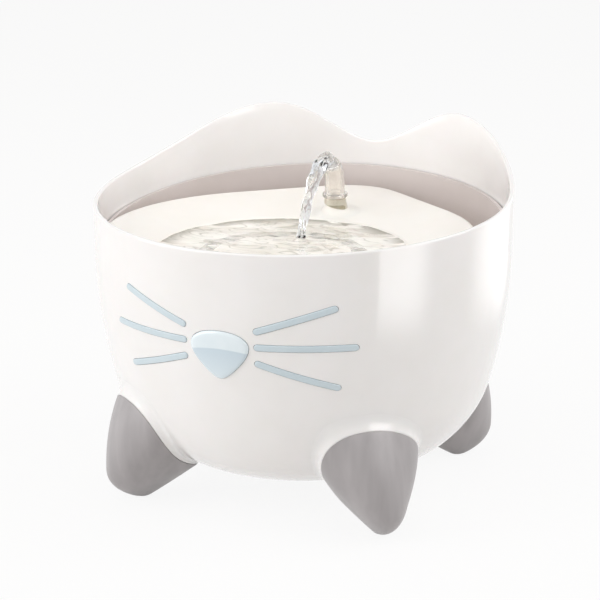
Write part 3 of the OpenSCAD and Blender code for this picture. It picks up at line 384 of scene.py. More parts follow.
shell = {
    "radius": 112.5, "wall": 2.5, "floorZ": 17.5, "uprightZ": 132.5, "sweepR": 272, "roundR": 58,
    "rimFrontZ": 154, "rimClimb": 14, "rimRound": 1.1, "spunZ": 150,
    "earRise": 25, "dipZ": 170, "earAt": 31.5, "earSpread": 22, "dipShape": 0.9, "flatShare": 0.5,
    "steps": 320, "roundParts": 14, "sweepParts": 28, "sideParts": 12, "lipParts": 12,
}
# the bowl's section: flat floor, tight round, long sweep, upright side
sweepX = shell["radius"] - shell["sweepR"]
tangentAt = -asin((shell["uprightZ"] - shell["floorZ"] - shell["roundR"])
                       / (shell["sweepR"] - shell["roundR"]))
roundX = sweepX + (shell["sweepR"] - shell["roundR"]) * cos(tangentAt)
roundZ = shell["floorZ"] + shell["roundR"]


def rimClimb(angle):
    # the rim rises evenly from the front to the back
    return shell["rimFrontZ"] + shell["rimClimb"] * (1 + cos(radians(angle))) / 2


earTopZ = rimClimb(shell["earAt"]) + shell["earRise"]


def rimHeight(x, y):
    # height of the rim by its angle from the back: two ears with a dip between them
    a = degrees(acos(max(-1, min(1, y / hypot(x, y)))))
    if a < shell["earAt"]:
        lift = sin(radians(90 * (a / shell["earAt"]) ** shell["dipShape"])) ** 2
        return shell["dipZ"] + (earTopZ - shell["dipZ"]) * lift
    ear = exp(-((a - shell["earAt"]) / shell["earSpread"]) ** 2 / 2)
    return rimClimb(a) + shell["earRise"] * ear


def bowlRadius(z):
    # outer radius of the bowl at height z
    if z >= shell["uprightZ"]:
        return shell["radius"]
    if z < shell["uprightZ"] + shell["sweepR"] * sin(tangentAt):
        return roundX + sqrt(max(0, shell["roundR"] ** 2 - (z - roundZ) ** 2))
    return sweepX + sqrt(max(0, shell["sweepR"] ** 2 - (shell["uprightZ"] - z) ** 2))


def bowlOutline(inset, top):
    # half section of the bowl from the middle of its underside up to the given height
    low = shell["floorZ"] + inset
    points = [(0, low), (roundX * shell["flatShare"], low)]
    r = shell["roundR"] - inset
    for i in range(shell["roundParts"] + 1):
        a = -pi / 2 + (tangentAt + pi / 2) * i / shell["roundParts"]
        points.append((roundX + r * cos(a), roundZ + r * sin(a)))
    r = shell["sweepR"] - inset
    for i in range(1, shell["sweepParts"] + 1):
        a = tangentAt * (1 - i / shell["sweepParts"])
        points.append((sweepX + r * cos(a), shell["uprightZ"] + r * sin(a)))
    side = top - shell["uprightZ"]
    for i in range(1, shell["sideParts"] + 1):
        points.append((shell["radius"] - inset, shell["uprightZ"] + side * i / shell["sideParts"]))
    return points


def makeShell():
    # spun with a level rim, then the upright side is stretched to the rim's ears
    low, spun, edge = shell["uprightZ"], shell["spunZ"], shell["rimRound"]
    half = shell["wall"] / 2
    lip = []
    for i in range(1, shell["lipParts"]):
        a = pi * i / shell["lipParts"]
        lip.append((shell["radius"] - half + half * cos(a), spun + edge * sin(a)))
    profile = bowlOutline(0, spun) + lip + bowlOutline(shell["wall"], spun)[::-1]
    obj = turnProfile("outerShell", profile, shell["steps"])
    for v in obj.data.vertices:
        x, y, z = v.co / mm
        if z > low + 1e-3:
            goal = rimHeight(x, y) - edge
            share = (goal - low) / (spun - low)
            v.co.z = (low + (z - low) * share if z <= spun else goal + z - spun) * mm
    return obj


foot = {
    "reach": 93.5, "flatR": 2.5, "bulge": 18.5, "bulgeZ": 18, "bulgeShape": 0.7, "lean": 0.0047,
    "keel": 28, "keelShape": 0.916, "halfW": 29.5, "wideZ": 55, "wideShape": 0.945,
    "sweep": 8.2, "sweepZ": 64, "sides": 96, "rows": 40, "rowShape": 1.5, "searchZ": 84.0,
    "angles": [223.5, -43.5, 39.5, 140.5], "hands": [1, -1, 1, -1],
    "names": ["foot_cap_front_left", "foot_cap_front_right", "foot_cap_rear_right",
              "foot_cap_rear_left"],
    # the flat it stands on: how far the form grows, and Z
    "sole": [(-2.4, 0.0), (-1.0, 0.02), (-0.35, 0.25)],
    "lowZ": 0.6, "topDrop": 0.3, "topGap": 3.12,
    # the cap's top edge and the hollow inside it: how far the form grows, gap to the bowl
    "cuff": [(-0.12, 3.2), (-0.45, 3.12), (-3, 3.15), (-9, 3.2)],
    # the shell's white root, from under the cap out into the bowl's skin and back inside it
    "root": [(-2.5, 2.95), (-0.4, 3.0), (-0.1, 2.9), (0.0, 2.7), (0.0, 2.1), (0.06, 1.5),
             (0.25, 1.0), (0.65, 0.58), (1.3, 0.26), (2.2, 0.07), (3.4, -0.12), (3.4, -1.2),
             (-2.5, -1.2)],
}


def footPoint(t, z, grow, hand):
    # point of the foot's form at angle t round its slice at height z
    z = max(z, 0)
    if z < foot["bulgeZ"]:
        out = foot["bulge"] * sin(pi / 2 * (z / foot["bulgeZ"]) ** foot["bulgeShape"])
    else:
        out = foot["bulge"] - foot["lean"] * (z - foot["bulgeZ"]) ** 2
    keel = foot["keel"] * (min(z, shell["floorZ"]) / shell["floorZ"]) ** foot["keelShape"]
    wide = sin(pi / 2 * (min(z, foot["wideZ"]) / foot["wideZ"]) ** foot["wideShape"])
    far = foot["reach"] + foot["flatR"] + out
    near = foot["reach"] - foot["flatR"] - keel
    half = foot["flatR"] + (foot["halfW"] - foot["flatR"]) * wide
    swing = hand * foot["sweep"] * min(z, foot["sweepZ"]) / foot["sweepZ"]
    return ((far + near) / 2 + ((far - near) / 2 + grow) * cos(t),
            swing + (half + grow) * sin(t), z)


def bowlDistance(p):
    # distance of a point outside the bowl's surface, negative inside
    r, z = hypot(p[0], p[1]), p[2]
    if r < roundX:
        return shell["floorZ"] - z
    if atan2(z - roundZ, r - roundX) < tangentAt:
        return hypot(r - roundX, z - roundZ) - shell["roundR"]
    return hypot(r - sweepX, z - shell["uprightZ"]) - shell["sweepR"]


@lru_cache(maxsize=None)
def footHeight(t, grow, gap, hand):
    # height at which the grown foot form is that far from the bowl
    return lastTrue(0.0, foot["searchZ"],
                    lambda z: bowlDistance(footPoint(t, z, grow, hand)) > gap)


def footRow(turn, hand, grow, heightAt):
    # slice of the grown foot form at its place; its height may change round it
    c, s = cos(turn), sin(turn)
    row = []
    for t in turns(foot["sides"]):
        x, y, z = footPoint(t, heightAt(t), grow, hand)
        row.append((x * c - y * s, x * s + y * c, z))
    return row


def gapRows(turn, hand, rows):
    return [footRow(turn, hand, grow, lambda t, g=grow, d=gap: footHeight(t, g, d, hand))
            for grow, gap in rows]


def makeFoot(name, turn, hand):
    rows = [footRow(turn, hand, grow, lambda t, z=z: z) for grow, z in foot["sole"]]

    def sideHeight(t, k):
        climb = footHeight(t, 0.0, foot["topGap"], hand) - foot["lowZ"] - foot["topDrop"]
        return foot["lowZ"] + climb * k

    for i in range(1, foot["rows"]):
        share = (i / (foot["rows"] - 1)) ** foot["rowShape"]
        rows.append(footRow(turn, hand, 0.0, lambda t, k=share: sideHeight(t, k)))
    return skinRows(name, rows + gapRows(turn, hand, foot["cuff"]))


def makeRoot(turn, hand):
    # white root: a step out of the shell that runs into it with a hollow round
    return skinRows("root", gapRows(turn, hand, foot["root"]), looped=True)


shellPiece = makeShell()
roots = [makeRoot(radians(a), hand) for a, hand in zip(foot["angles"], foot["hands"])]
shellPiece = joinPieces(shellPiece, *roots)
for angle, hand, name in zip(foot["angles"], foot["hands"], foot["names"]):
    piece = makeFoot(name.replace("_", "") + "Piece", radians(angle), hand)
    finishPiece(piece, "base", matteAbsGrey, [name], 50)
print("shell and feet made")


face = {
    "noseZ": 101.8, "noseHalfH": 12.6, "noseHalfW": 14, "noseTaper": 0.5, "noseSides": 96,
    # the nose from its back to its crown: share of the outline, height over the wall
    "nose": [(0.2, -2.2), (0.6, -2.2), (0.9, -2.2), (0.995, -2.1), (1, -1.9), (1, -1), (1, 0),
             (1, 0.3), (0.996, 0.5), (0.985, 0.66), (0.93, 1.12), (0.915, 1.2), (0.895, 1.26),
             (0.8, 1.4), (0.65, 1.5), (0.5, 1.55), (0.35, 1.58), (0.2, 1.6), (0.08, 1.6)],
    "whiskerW": 3.3, "whiskerInX": 19.6, "whiskerZ": 107.3, "whiskerEndX": [55.3, 63.7, 55.3],
    "innerDz": [8.3, 0, -8.6], "outerDz": [20.2, 0, -20.9], "along": 14, "ends": 8,
    # a whisker from its back to its crown: how much narrower, height over the wall
    "whisker": [(0.8, -2.2), (0, -1.9), (0, -0.8), (0, 0.02), (0.08, 0.22), (0.28, 0.38),
                (0.55, 0.46), (0.8, 0.5), (1.6, 0.53)],
    "whiskerBack": -2.2, "whiskerCrown": 0.55, "gap": 0.2,
    "noseSeat": [-4.5, -2.5, -1, 0, 2, 4], "whiskerSeat": [-4.5, -2, 0, 2, 4],
}
# the nose's painted shine: a nearly white upper part stands in for a reflection over the pale
# blue; heights in mm, arch is how fast its boundary drops to the sides
noseShineLook = {
    "shineEdgeZ": (105, 105.9), "arch": 7.0, "deepZ": (89, 105.5), "cloud": 9,
    "below": ("#DCE9F0", "#CADAE4"), "above": ("#EDF6FA", "#DFECF2"),
    "ior": 1.49, "roughness": 0.06, "coat": 0.5, "coatRough": 0.03,
}


def paintedShineAcrylic(name):
    # acrylic of the nose: pale blue below an arched line, with a painted reflection above it,
    # nearly white
    look = noseShineLook
    material, tree, coords = newMaterial(name)
    axes = addNode(tree, "ShaderNodeSeparateXYZ", {"Vector": coords}).outputs
    squared = compute(tree, "POWER", axes["X"], 2.0)
    arched = compute(tree, "MULTIPLY_ADD", squared, look["arch"], axes["Z"])
    lift = mapValue(tree, arched, *(z * mm for z in look["shineEdgeZ"]), kind="SMOOTHSTEP")
    depth = mapValue(tree, axes["Z"], *(z * mm for z in look["deepZ"]))
    below = mixColours(tree, depth, *look["below"])
    # painted reflection: the nearly white colours above the arched line stand in for a lamp's
    # shine
    above = mixColours(tree, noiseAt(tree, coords, look["cloud"]), *look["above"])
    closePrincipled(tree, {
        "Base Color": mixColours(tree, lift, below, above), "IOR": look["ior"],
        "Roughness": look["roughness"], "Coat Weight": look["coat"],
        "Coat Roughness": look["coatRough"]})
    return material


def onWall(x, z, proud):
    # point of the front wall above (x, z), standing out by proud
    r = bowlRadius(z)
    y = -sqrt(max(0, r * r - x * x))
    slope = (shell["uprightZ"] - z) / shell["sweepR"] if z < shell["uprightZ"] else 0
    flat = sqrt(max(0, 1 - slope * slope))
    return (x + proud * flat * x / r, y + proud * flat * y / r, z - proud * slope)


def noseRow(scale, proud, grow=0.0):
    # the nose's outline, a rounded triangle on its tip
    row = []
    for t in turns(face["noseSides"]):
        x = (face["noseHalfW"] + grow) * sin(t) * (1 + face["noseTaper"] * cos(t))
        z = (face["noseHalfH"] + grow) * cos(t)
        row.append(onWall(x * scale, face["noseZ"] + z * scale, proud))
    return row


def capsuleRow(p, q, width, proud):
    # outline of a rounded strip on the wall from p to q
    turn = atan2(q[1] - p[1], q[0] - p[0])
    half = width / 2
    outline = []
    for centre, other, first in ((q, p, -pi / 2), (p, q, pi / 2)):
        for i in range(face["ends"] + 1):
            a = turn + first + pi * i / face["ends"]
            outline.append((centre[0] + half * cos(a), centre[1] + half * sin(a)))
        a = turn + first + pi
        for i in range(1, face["along"]):
            k = i / face["along"]
            outline.append((centre[0] + (other[0] - centre[0]) * k + half * cos(a),
                            centre[1] + (other[1] - centre[1]) * k + half * sin(a)))
    return [onWall(x, z, proud) for x, z in outline]


def whiskerEnds(side, i):
    return ((side * face["whiskerInX"], face["whiskerZ"] + face["innerDz"][i]),
            (side * face["whiskerEndX"][i], face["whiskerZ"] + face["outerDz"][i]))


def makeWhisker(side, i):
    # its first and last rows have no width, so both faces close along the middle
    p, q = whiskerEnds(side, i)
    rows = [(0, face["whiskerBack"])]
    rows += [(face["whiskerW"] - less, proud) for less, proud in face["whisker"]]
    rows += [(0, face["whiskerCrown"])]
    return skinRows("whisker", [capsuleRow(p, q, *row) for row in rows], closed=False)


def cutFace():
    # the seats of nose and whiskers go right through the wall
    seats = [skinRows("noseSeat", [noseRow(1, proud, face["gap"]) for proud in face["noseSeat"]])]
    width = face["whiskerW"] + 2 * face["gap"]
    for side in (-1, 1):
        for i in range(3):
            rows = [capsuleRow(*whiskerEnds(side, i), width, d) for d in face["whiskerSeat"]]
            seats.append(skinRows("whiskerSeat", rows))
    cutAway(shellPiece, joinPieces(*seats))


cutFace()
finishPiece(shellPiece, "base", glossAbsWhite, ["outer_shell"], 35)
nosePaintedShineAcrylic = paintedShineAcrylic("paintedShineAcrylic")
nosePiece = skinRows("noseWindow", [noseRow(*row) for row in face["nose"]])
finishPiece(nosePiece, "base", nosePaintedShineAcrylic, ["nose_window"], 50)
whiskerPiece = joinPieces(*[makeWhisker(side, i) for side in (-1, 1) for i in range(3)])
whiskerPiece.name = "whiskerWindows"
finishPiece(whiskerPiece, "base", milkyAcrylicBlue, ["whisker_windows"], 50)
print("face made")


top = {
    "frontR": 98.5, "frontY": 20, "lobeR": 30, "lobeY": 70, "clipR": 106.4, "searchR": 160.0,
    "smooth": 3, "poolR": 66.2, "poolY": 30.3, "floorZ": 129, "floorR": 40, "steps": 288,
    # up the outer edge and over the lip: inset from the outline, Z
    "edge": [(0.9, 123), (0.6, 123.3), (0.6, 128), (0.6, 134), (0.6, 140), (0.6, 141.9),
             (0.15, 142.7), (0, 143.4), (0.05, 144.0), (0.35, 144.55), (0.9, 144.88), (1.6, 145)],
    "slopeInset": 2.4, "slopeTopZ": 144.9, "slopeEndR": 67.0, "slopeEndZ": 138.25,
    "slopeEase": 0.12, "slopeParts": 24,
    # over the brim into the pool: radius, Z
    "brim": [(66.7, 138.12), (66.3, 137.9), (65.9, 137.5), (65.4, 136.9)],
    "bankParts": 14, "bankShape": 1.15, "bankPast": 4, "floor": [(24, 129), (10, 129)],
    # back under the dish: the pool's underside by radius, then inside the edge by inset
    "under": [(10, 126.8), (38, 126.8), (66, 134.4), (68, 135.6)],
    "inside": [(6, 140.2), (2.8, 140.8), (2.8, 132), (2.8, 123.3), (2.5, 123)],
    "slots": 9, "slotW": 3, "slotL": 4, "slotR": 67.7, "slotStep": 12, "slotTopZ": 150,
    "slotParts": 8,
}


def lipDistance(x, y):
    # distance to the outline that wraps the wide front circle and the lobe behind it, cut by the
    # tank's circle
    h = top["frontY"] + top["lobeY"]
    b = (top["frontR"] - top["lobeR"]) / h
    a = sqrt(1 - b * b)
    px, py = abs(x), y + top["frontY"]
    k = -b * px + a * py
    if k < 0:
        d = hypot(px, py) - top["frontR"]
    elif k > a * h:
        d = hypot(px, py - h) - top["lobeR"]
    else:
        d = px * a + py * b - top["frontR"]
    return max(d, hypot(x, y) - top["clipR"])


def lipReach(a):
    # from the pool's middle to the outline
    return lastTrue(0.0, top["searchR"], lambda r: lipDistance(
        r * cos(a), r * sin(a) - top["poolY"]) <= 0)


def smoothed(values, spread):
    # each value averaged with its neighbours round the ring
    n = len(values)
    return [sum(values[(j + k) % n] for k in range(-spread, spread + 1)) / (2 * spread + 1)
            for j in range(n)]


lipAngles = turns(top["steps"])
lipReaches = smoothed([lipReach(a) for a in lipAngles], top["smooth"])


def lipRow(inset, z):
    return [((reach - inset) * cos(a), (reach - inset) * sin(a) - top["poolY"], z)
            for a, reach in zip(lipAngles, lipReaches)]


def poolRow(r, z, steps=top["steps"]):
    return [(r * cos(a), r * sin(a) - top["poolY"], z) for a in turns(steps)]


def slopeHeight(s):
    # the dish falls from the lip to the brim, easing in at both ends
    eased = s + top["slopeEase"] * sin(tau * s) / tau
    return top["slopeTopZ"] - (top["slopeTopZ"] - top["slopeEndZ"]) * eased


def dishHeight(x, y):
    # height of the dish's slope at (x, y)
    turn = atan2(y + top["poolY"], x) % tau / tau
    reach = lipReaches[int(turn * top["steps"]) % top["steps"]] - top["slopeInset"]
    r = hypot(x, y + top["poolY"])
    return slopeHeight(max(0, min(1, (reach - r) / (reach - top["slopeEndR"]))))


def makeDish():
    # from the middle of the underside out, up the edge and down the slope to the pool's floor
    rows = [poolRow(*row) for row in top["under"]]
    rows += [lipRow(*row) for row in top["inside"] + top["edge"]]
    outer, inner = lipRow(top["slopeInset"], 0), poolRow(top["slopeEndR"], 0)
    for i in range(top["slopeParts"] + 1):
        s = i / top["slopeParts"]
        rows.append([(p[0] + (q[0] - p[0]) * s, p[1] + (q[1] - p[1]) * s, slopeHeight(s))
                     for p, q in zip(outer, inner)])
    rows += [poolRow(*row) for row in top["brim"]]
    bankR, bankZ = top["brim"][-1]
    for i in range(1, top["bankParts"] + 1):
        s = i / top["bankParts"]
        fall = sin(pi / 2 * s) ** top["bankShape"]
        rows.append(poolRow(bankR - (bankR - top["floorR"] + top["bankPast"]) * s,
                            bankZ - (bankZ - top["floorZ"]) * fall))
    rows += [poolRow(*row) for row in top["floor"]]
    return skinRows("drinkingTop", rows)


def makeSlotCutter():
    # rounded overflow slots along the front of the pool
    pieces = []
    half, parts = top["slotW"] / 2, top["slotParts"]
    ends = ((top["slotR"] + half, pi / 2), (top["slotR"] + top["slotL"] - half, -pi / 2))
    for i in range(top["slots"]):
        turn = radians(-90 + top["slotStep"] * (i - (top["slots"] - 1) / 2))
        rows = []
        for z in (top["floorZ"], top["slotTopZ"]):
            row = []
            for middle, first in ends:
                for k in range(parts + 1):
                    a = first + pi * k / parts
                    x, y = middle + half * cos(a), half * sin(a)
                    row.append((x * cos(turn) - y * sin(turn),
                                x * sin(turn) + y * cos(turn) - top["poolY"], z))
            rows.append(row)
        pieces.append(skinRows("slot", rows))
    return joinPieces(*pieces)


spout = {
    "y": 48, "z": 149, "lean": 5, "sides": 72, "riserY": 49,
    # the neck's bore and outer face: radius, height along the leaning axis
    "neck": [(4.7, -9), (4.7, -0.3), (4.95, 0), (5.3, 0), (5.6, -0.12), (5.75, -0.5),
             (5.85, -2), (6.0, -3.6)],
    # its foot: radius, height over the dish; the front is drawn in where it spreads
    "flare": [(6.4, 4.0), (6.8, 2.7), (7.5, 1.6), (8.8, 0.8), (11, 0.3), (13.8, 0.05),
              (16, -0.25)],
    "drawIn": 0.3, "drawFrom": 8, "drawOver": 9, "underneath": [(14, 137), (4.7, 137)],
    # socket under the dish that takes the riser tube: radius, Z
    "boss": [(8.2, 116), (8.5, 116.3), (8.5, 136), (8.5, 138.4), (3.6, 138.4), (3.6, 129),
             (6.05, 129), (6.05, 116.4), (6.4, 116)],
}
spoutPlace = (Matrix.Translation((0, spout["y"], spout["z"]))
              @ Matrix.Rotation(radians(spout["lean"]), 4, "X"))


def inSpout(points):
    return [tuple(spoutPlace @ Vector(p)) for p in points]


def circleRow(r, z, y=0.0):
    return [(r * cos(a), y + r * sin(a), z) for a in turns(spout["sides"])]


def makeNeck():
    # vase-shaped neck that runs out into the dish
    rows = [inSpout(circleRow(*row)) for row in spout["neck"]]
    for r, lift in spout["flare"]:
        squash = 1 - spout["drawIn"] * min(1, max(0, (r - spout["drawFrom"]) / spout["drawOver"]))
        row = []
        for x, y, _ in circleRow(r, 0):
            y = spout["riserY"] + (y * squash if y < 0 else y)
            row.append((x, y, dishHeight(x, y) + lift))
        rows.append(row)
    rows += [circleRow(r, z, spout["riserY"]) for r, z in spout["underneath"]]
    return skinRows("neck", rows, looped=True)


def makeBoss():
    rows = [circleRow(r, z, spout["riserY"]) for r, z in spout["boss"]]
    return skinRows("boss", rows, looped=True)


topPiece = makeDish()
cutAway(topPiece, makeSlotCutter())
topPiece = joinPieces(topPiece, makeNeck(), makeBoss())
finishPiece(topPiece, "top", satinAbsCream, ["drinking_top"], 40)
print("drinking top made")


nozzle = {
    "rise": 10, "riseParts": 6, "bendR": 12, "bend": 40, "bendParts": 12, "mouth": 3,
    "mouthParts": 2, "sides": 64, "tubeR": 5.6, "taper": 0.7, "tubeFrom": 2, "boreR": 3.6,
    "boreEnd": -4,
    # plug with its seal groove, then the collar: radius, height along the axis
    "plug": [(3.6, -8.5), (4.4, -8.5), (4.65, -8.2), (4.65, -5.5), (4.1, -5.4), (4.1, -4.3),
             (4.65, -4.2), (4.65, 0)],
    "collar": [(6.7, 0), (7.0, 0.15), (7.1, 0.5), (7.1, 1.5), (6.95, 1.85), (6.6, 2.0),
               (6.0, 2.15), (5.75, 2.5)],
    # rounded lip: radius, distance past the end of the tube
    "lip": [(4.85, 0.25), (4.7, 0.42), (4.5, 0.5), (4.1, 0.45), (3.8, 0.2), (3.6, -0.3)],
}


def nozzlePath():
    # points up the tube and forward round its bend, each with its angle
    bend, steps = radians(nozzle["bend"]), nozzle["bendParts"]
    path = [((0, 0, nozzle["rise"] * i / nozzle["riseParts"]), 0)
            for i in range(nozzle["riseParts"] + 1)]
    for i in range(1, steps + 1):
        a = bend * i / steps
        path.append(((0, -nozzle["bendR"] * (1 - cos(a)),
                      nozzle["rise"] + nozzle["bendR"] * sin(a)), a))
    end = path[-1][0]
    for i in range(1, nozzle["mouthParts"] + 1):
        s = nozzle["mouth"] * i / nozzle["mouthParts"]
        path.append(((0, end[1] - s * sin(bend), end[2] + s * cos(bend)), bend))
    return path


def tubeRing(p, a, r):
    # slice of the tube at p, square to its line
    return [(p[0] + r * cos(t), p[1] + r * sin(t) * cos(a), p[2] + r * sin(t) * sin(a))
            for t in turns(nozzle["sides"])]


def makeNozzle():
    path = nozzlePath()
    rows = [tubeRing((0, 0, z), 0, r) for r, z in nozzle["plug"] + nozzle["collar"]]
    tube = path[nozzle["tubeFrom"]:]
    for i, (p, a) in enumerate(tube):
        rows.append(tubeRing(p, a, nozzle["tubeR"] - nozzle["taper"] * i / (len(tube) - 1)))
    tip, a = path[-1]
    for r, s in nozzle["lip"]:
        rows.append(tubeRing((0, tip[1] - s * sin(a), tip[2] + s * cos(a)), a, r))
    for p, a in path[::-1]:
        rows.append(tubeRing(p, a, nozzle["boreR"]))
    rows.append(tubeRing((0, 0, nozzle["boreEnd"]), 0, nozzle["boreR"]))
    return skinRows("nozzleTube", [inSpout(row) for row in rows], looped=True)


nozzlePiece = makeNozzle()
finishPiece(nozzlePiece, "nozzle_body", frostedPolycarbonate, ["nozzle"], 40)


pool = {
    "level": 136.7, "rings": 84, "steps": 256, "faceR": 65.6,
    # underside, sunk a little into the dish: radius, Z
    "under": [(6, 128.7), (20, 128.7), (34, 128.7), (50, 130.6), (60, 133.5), (65.0, 135.9),
              (65.9, 136.5)],
    # rings round the splash: their pitch, the height of all waves, how far they carry
    "splash": (0, -3.6), "wave": 15.0, "height": 0.55, "carry": 42, "calm": 8, "bend": 7,
    # slow swirls and finer ones: width, length, place in the noise
    "swirl": (26, 12, 3.1), "fine": (11, 5.5, 7.7), "shares": (0.7, 1.4, 0.6),
    # the water climbs the brim; a blob rises where the stream lands
    "brimW": 9, "brimRise": 0.9, "brimCalm": 0.5, "blob": 1.5, "blobR": 2.9, "blobRough": 0.6,
    "grain": (1.9, 1.9, 4), "brimLines": (56, 65.5),
}


def swirlAt(x, y, width, length, layer):
    return noise.noise(Vector((x / width, y / length, layer)))


def waterHeight(x, y):
    # rings that spread from the splash, bent and crossed by slow swirls
    d = hypot(x - pool["splash"][0], y - pool["splash"][1])
    swirl = swirlAt(x, y, *pool["swirl"])
    fine = swirlAt(x, y, *pool["fine"])
    rings = (cos(tau * (d + pool["bend"] * swirl) / pool["wave"])
             * exp(-d / pool["carry"]) * min(1, d / pool["calm"]))
    waves = sum(share * part for share, part in zip(pool["shares"], (rings, swirl, fine)))
    edge = max(0, 1 - (top["poolR"] - hypot(x, y + top["poolY"])) / pool["brimW"])
    grain = swirlAt(x, y, *pool["grain"])
    blob = pool["blob"] * exp(-(d / pool["blobR"]) ** 2) * (1 + pool["blobRough"] * grain)
    return (pool["level"] + pool["height"] * waves * (1 - pool["brimCalm"] * edge)
            + pool["brimRise"] * edge ** 3 + blob)


def makePool():
    # the water in the pool: rippled face, sides and underside
    rows = [poolRow(r, z, pool["steps"]) for r, z in pool["under"]]
    for i in range(pool["rings"]):
        flat = poolRow(pool["faceR"] * (1 - i / pool["rings"]), 0, pool["steps"])
        rows.append([(x, y, waterHeight(x, y)) for x, y, _ in flat])
    return skinRows("poolWater", rows)


stream = {
    # the middle of the falling water: Y, Z, and its radius there
    "path": [(43.2, 166.5), (41, 169.8), (37, 172), (32.5, 172.6), (28, 171.9), (24.3, 169.8),
             (20.8, 167.3), (17, 165.2), (13.6, 163), (11.3, 160.6), (9.2, 157.6), (6.4, 155),
             (4.5, 152.2), (2.6, 149.2), (0.4, 146), (-1.4, 142.8), (-2.8, 139.6), (-3.6, 136)],
    "radius": [3.4, 3.9, 4.1, 4.0, 3.9, 4.1, 3.6, 3.3, 3.5, 3.2, 2.6, 2.8, 2.9, 2.4, 2.2, 2.0,
               2.0, 2.6],
    "parts": 7, "sides": 56, "flatness": 0.9,
    # strands that wind round it: depth, count, twist; then lumps and how all of it grows
    "strands": [(0.16, 3, 9), (0.1, 2, -14)], "lump": 0.24, "lumpSize": 1.5, "lumpRun": 9,
    "foldTop": 0.5, "foldMore": 0.7,
}


def smoothPath(points, values, parts):
    # Catmull-Rom through the points, with a value carried along
    result = []
    last = len(points) - 1
    for i in range(last):
        near = [max(i - 1, 0), i, i + 1, min(i + 2, last)]
        for k in range(parts):
            t = k / parts
            weights = (-0.5 * t + t * t - 0.5 * t ** 3, 1 - 2.5 * t * t + 1.5 * t ** 3,
                       0.5 * t + 2 * t * t - 1.5 * t ** 3, -0.5 * t * t + 0.5 * t ** 3)
            y, z = (sum(w * points[n][c] for w, n in zip(weights, near)) for c in (0, 1))
            result.append((Vector((0, y, z)), sum(w * values[n] for w, n in zip(weights, near))))
    result.append((Vector((0, *points[-1])), values[-1]))
    return result


def makeStream():
    # the falling water: a twisting, ropy stream that opens where it meets the pool
    line = smoothPath(stream["path"], stream["radius"], stream["parts"])
    last = len(line) - 1
    side = Vector((1, 0, 0))
    rows = []
    for i, (at, radius) in enumerate(line):
        ahead = (line[min(i + 1, last)][0] - line[max(i - 1, 0)][0]).normalized()
        up = ahead.cross(side).normalized() * -1
        s = i / last
        row = []
        for a in turns(stream["sides"]):
            size = stream["lumpSize"]
            lump = noise.noise(Vector((cos(a) * size, sin(a) * size, s * stream["lumpRun"])))
            fold = sum(depth * sin(count * a + twist * s)
                       for depth, count, twist in stream["strands"]) + stream["lump"] * lump
            r = radius * (1 + fold * (stream["foldTop"] + stream["foldMore"] * s))
            row.append(tuple(at + side * r * cos(a) + up * r * stream["flatness"] * sin(a)))
        rows.append(row)
    return skinRows("streamWater", rows)


# painted shadow: a darker sheet on the neck where the collar's shade falls, its lower edge
# slanting down towards lowestAt
shadeFilm = {
    "proud": 0.32, "sunk": -0.1, "topH": -0.2, "drop": 5.4, "dropLean": 1.6, "lowestAt": 22,
    "parts": 8,
    # the neck that it clings to: height along the axis, radius
    "neck": [(0.1, 5.6), (-0.5, 5.75), (-2, 5.85), (-3.6, 6.0), (-5.6, 6.45), (-6.9, 6.9),
             (-8.5, 7.7)],
}


def neckRadius(h):
    for (h0, r0), (h1, r1) in zip(shadeFilm["neck"], shadeFilm["neck"][1:]):
        if h >= h1:
            return r0 + (r1 - r0) * (h0 - h) / (h0 - h1)
    return shadeFilm["neck"][-1][1]


def makeCollarShadowFilm():
    # painted shadow under the collar: a thin darker sheet down the neck's face, back up inside the
    # neck
    parts, low = shadeFilm["parts"], radians(shadeFilm["lowestAt"])
    rows = []
    for grow, steps in ((shadeFilm["proud"], range(parts)), (shadeFilm["sunk"], range(parts, 0, -1))):
        for i in steps:
            row = []
            for a in turns(spout["sides"]):
                drop = shadeFilm["drop"] + shadeFilm["dropLean"] * cos(a - low)
                h = shadeFilm["topH"] - drop * i / parts
                r = neckRadius(h) + grow
                row.append((r * cos(a), r * sin(a), h))
            rows.append(inSpout(row))
    return skinRows("collarShadowFilm", rows, looped=True)


waterLook = {
    "ior": 1.333, "roughness": 0.02, "shadeMin": 0.42, "shadeMax": 0.68, "lineSize": 0.8,
    "lineDetail": 1.5, "lineBend": 1.1, "lineMiddle": 0.5, "lineHalf": 0.035, "lineLevel": 0.8,
    "streakMin": 0.38, "streakMax": 0.56,
}


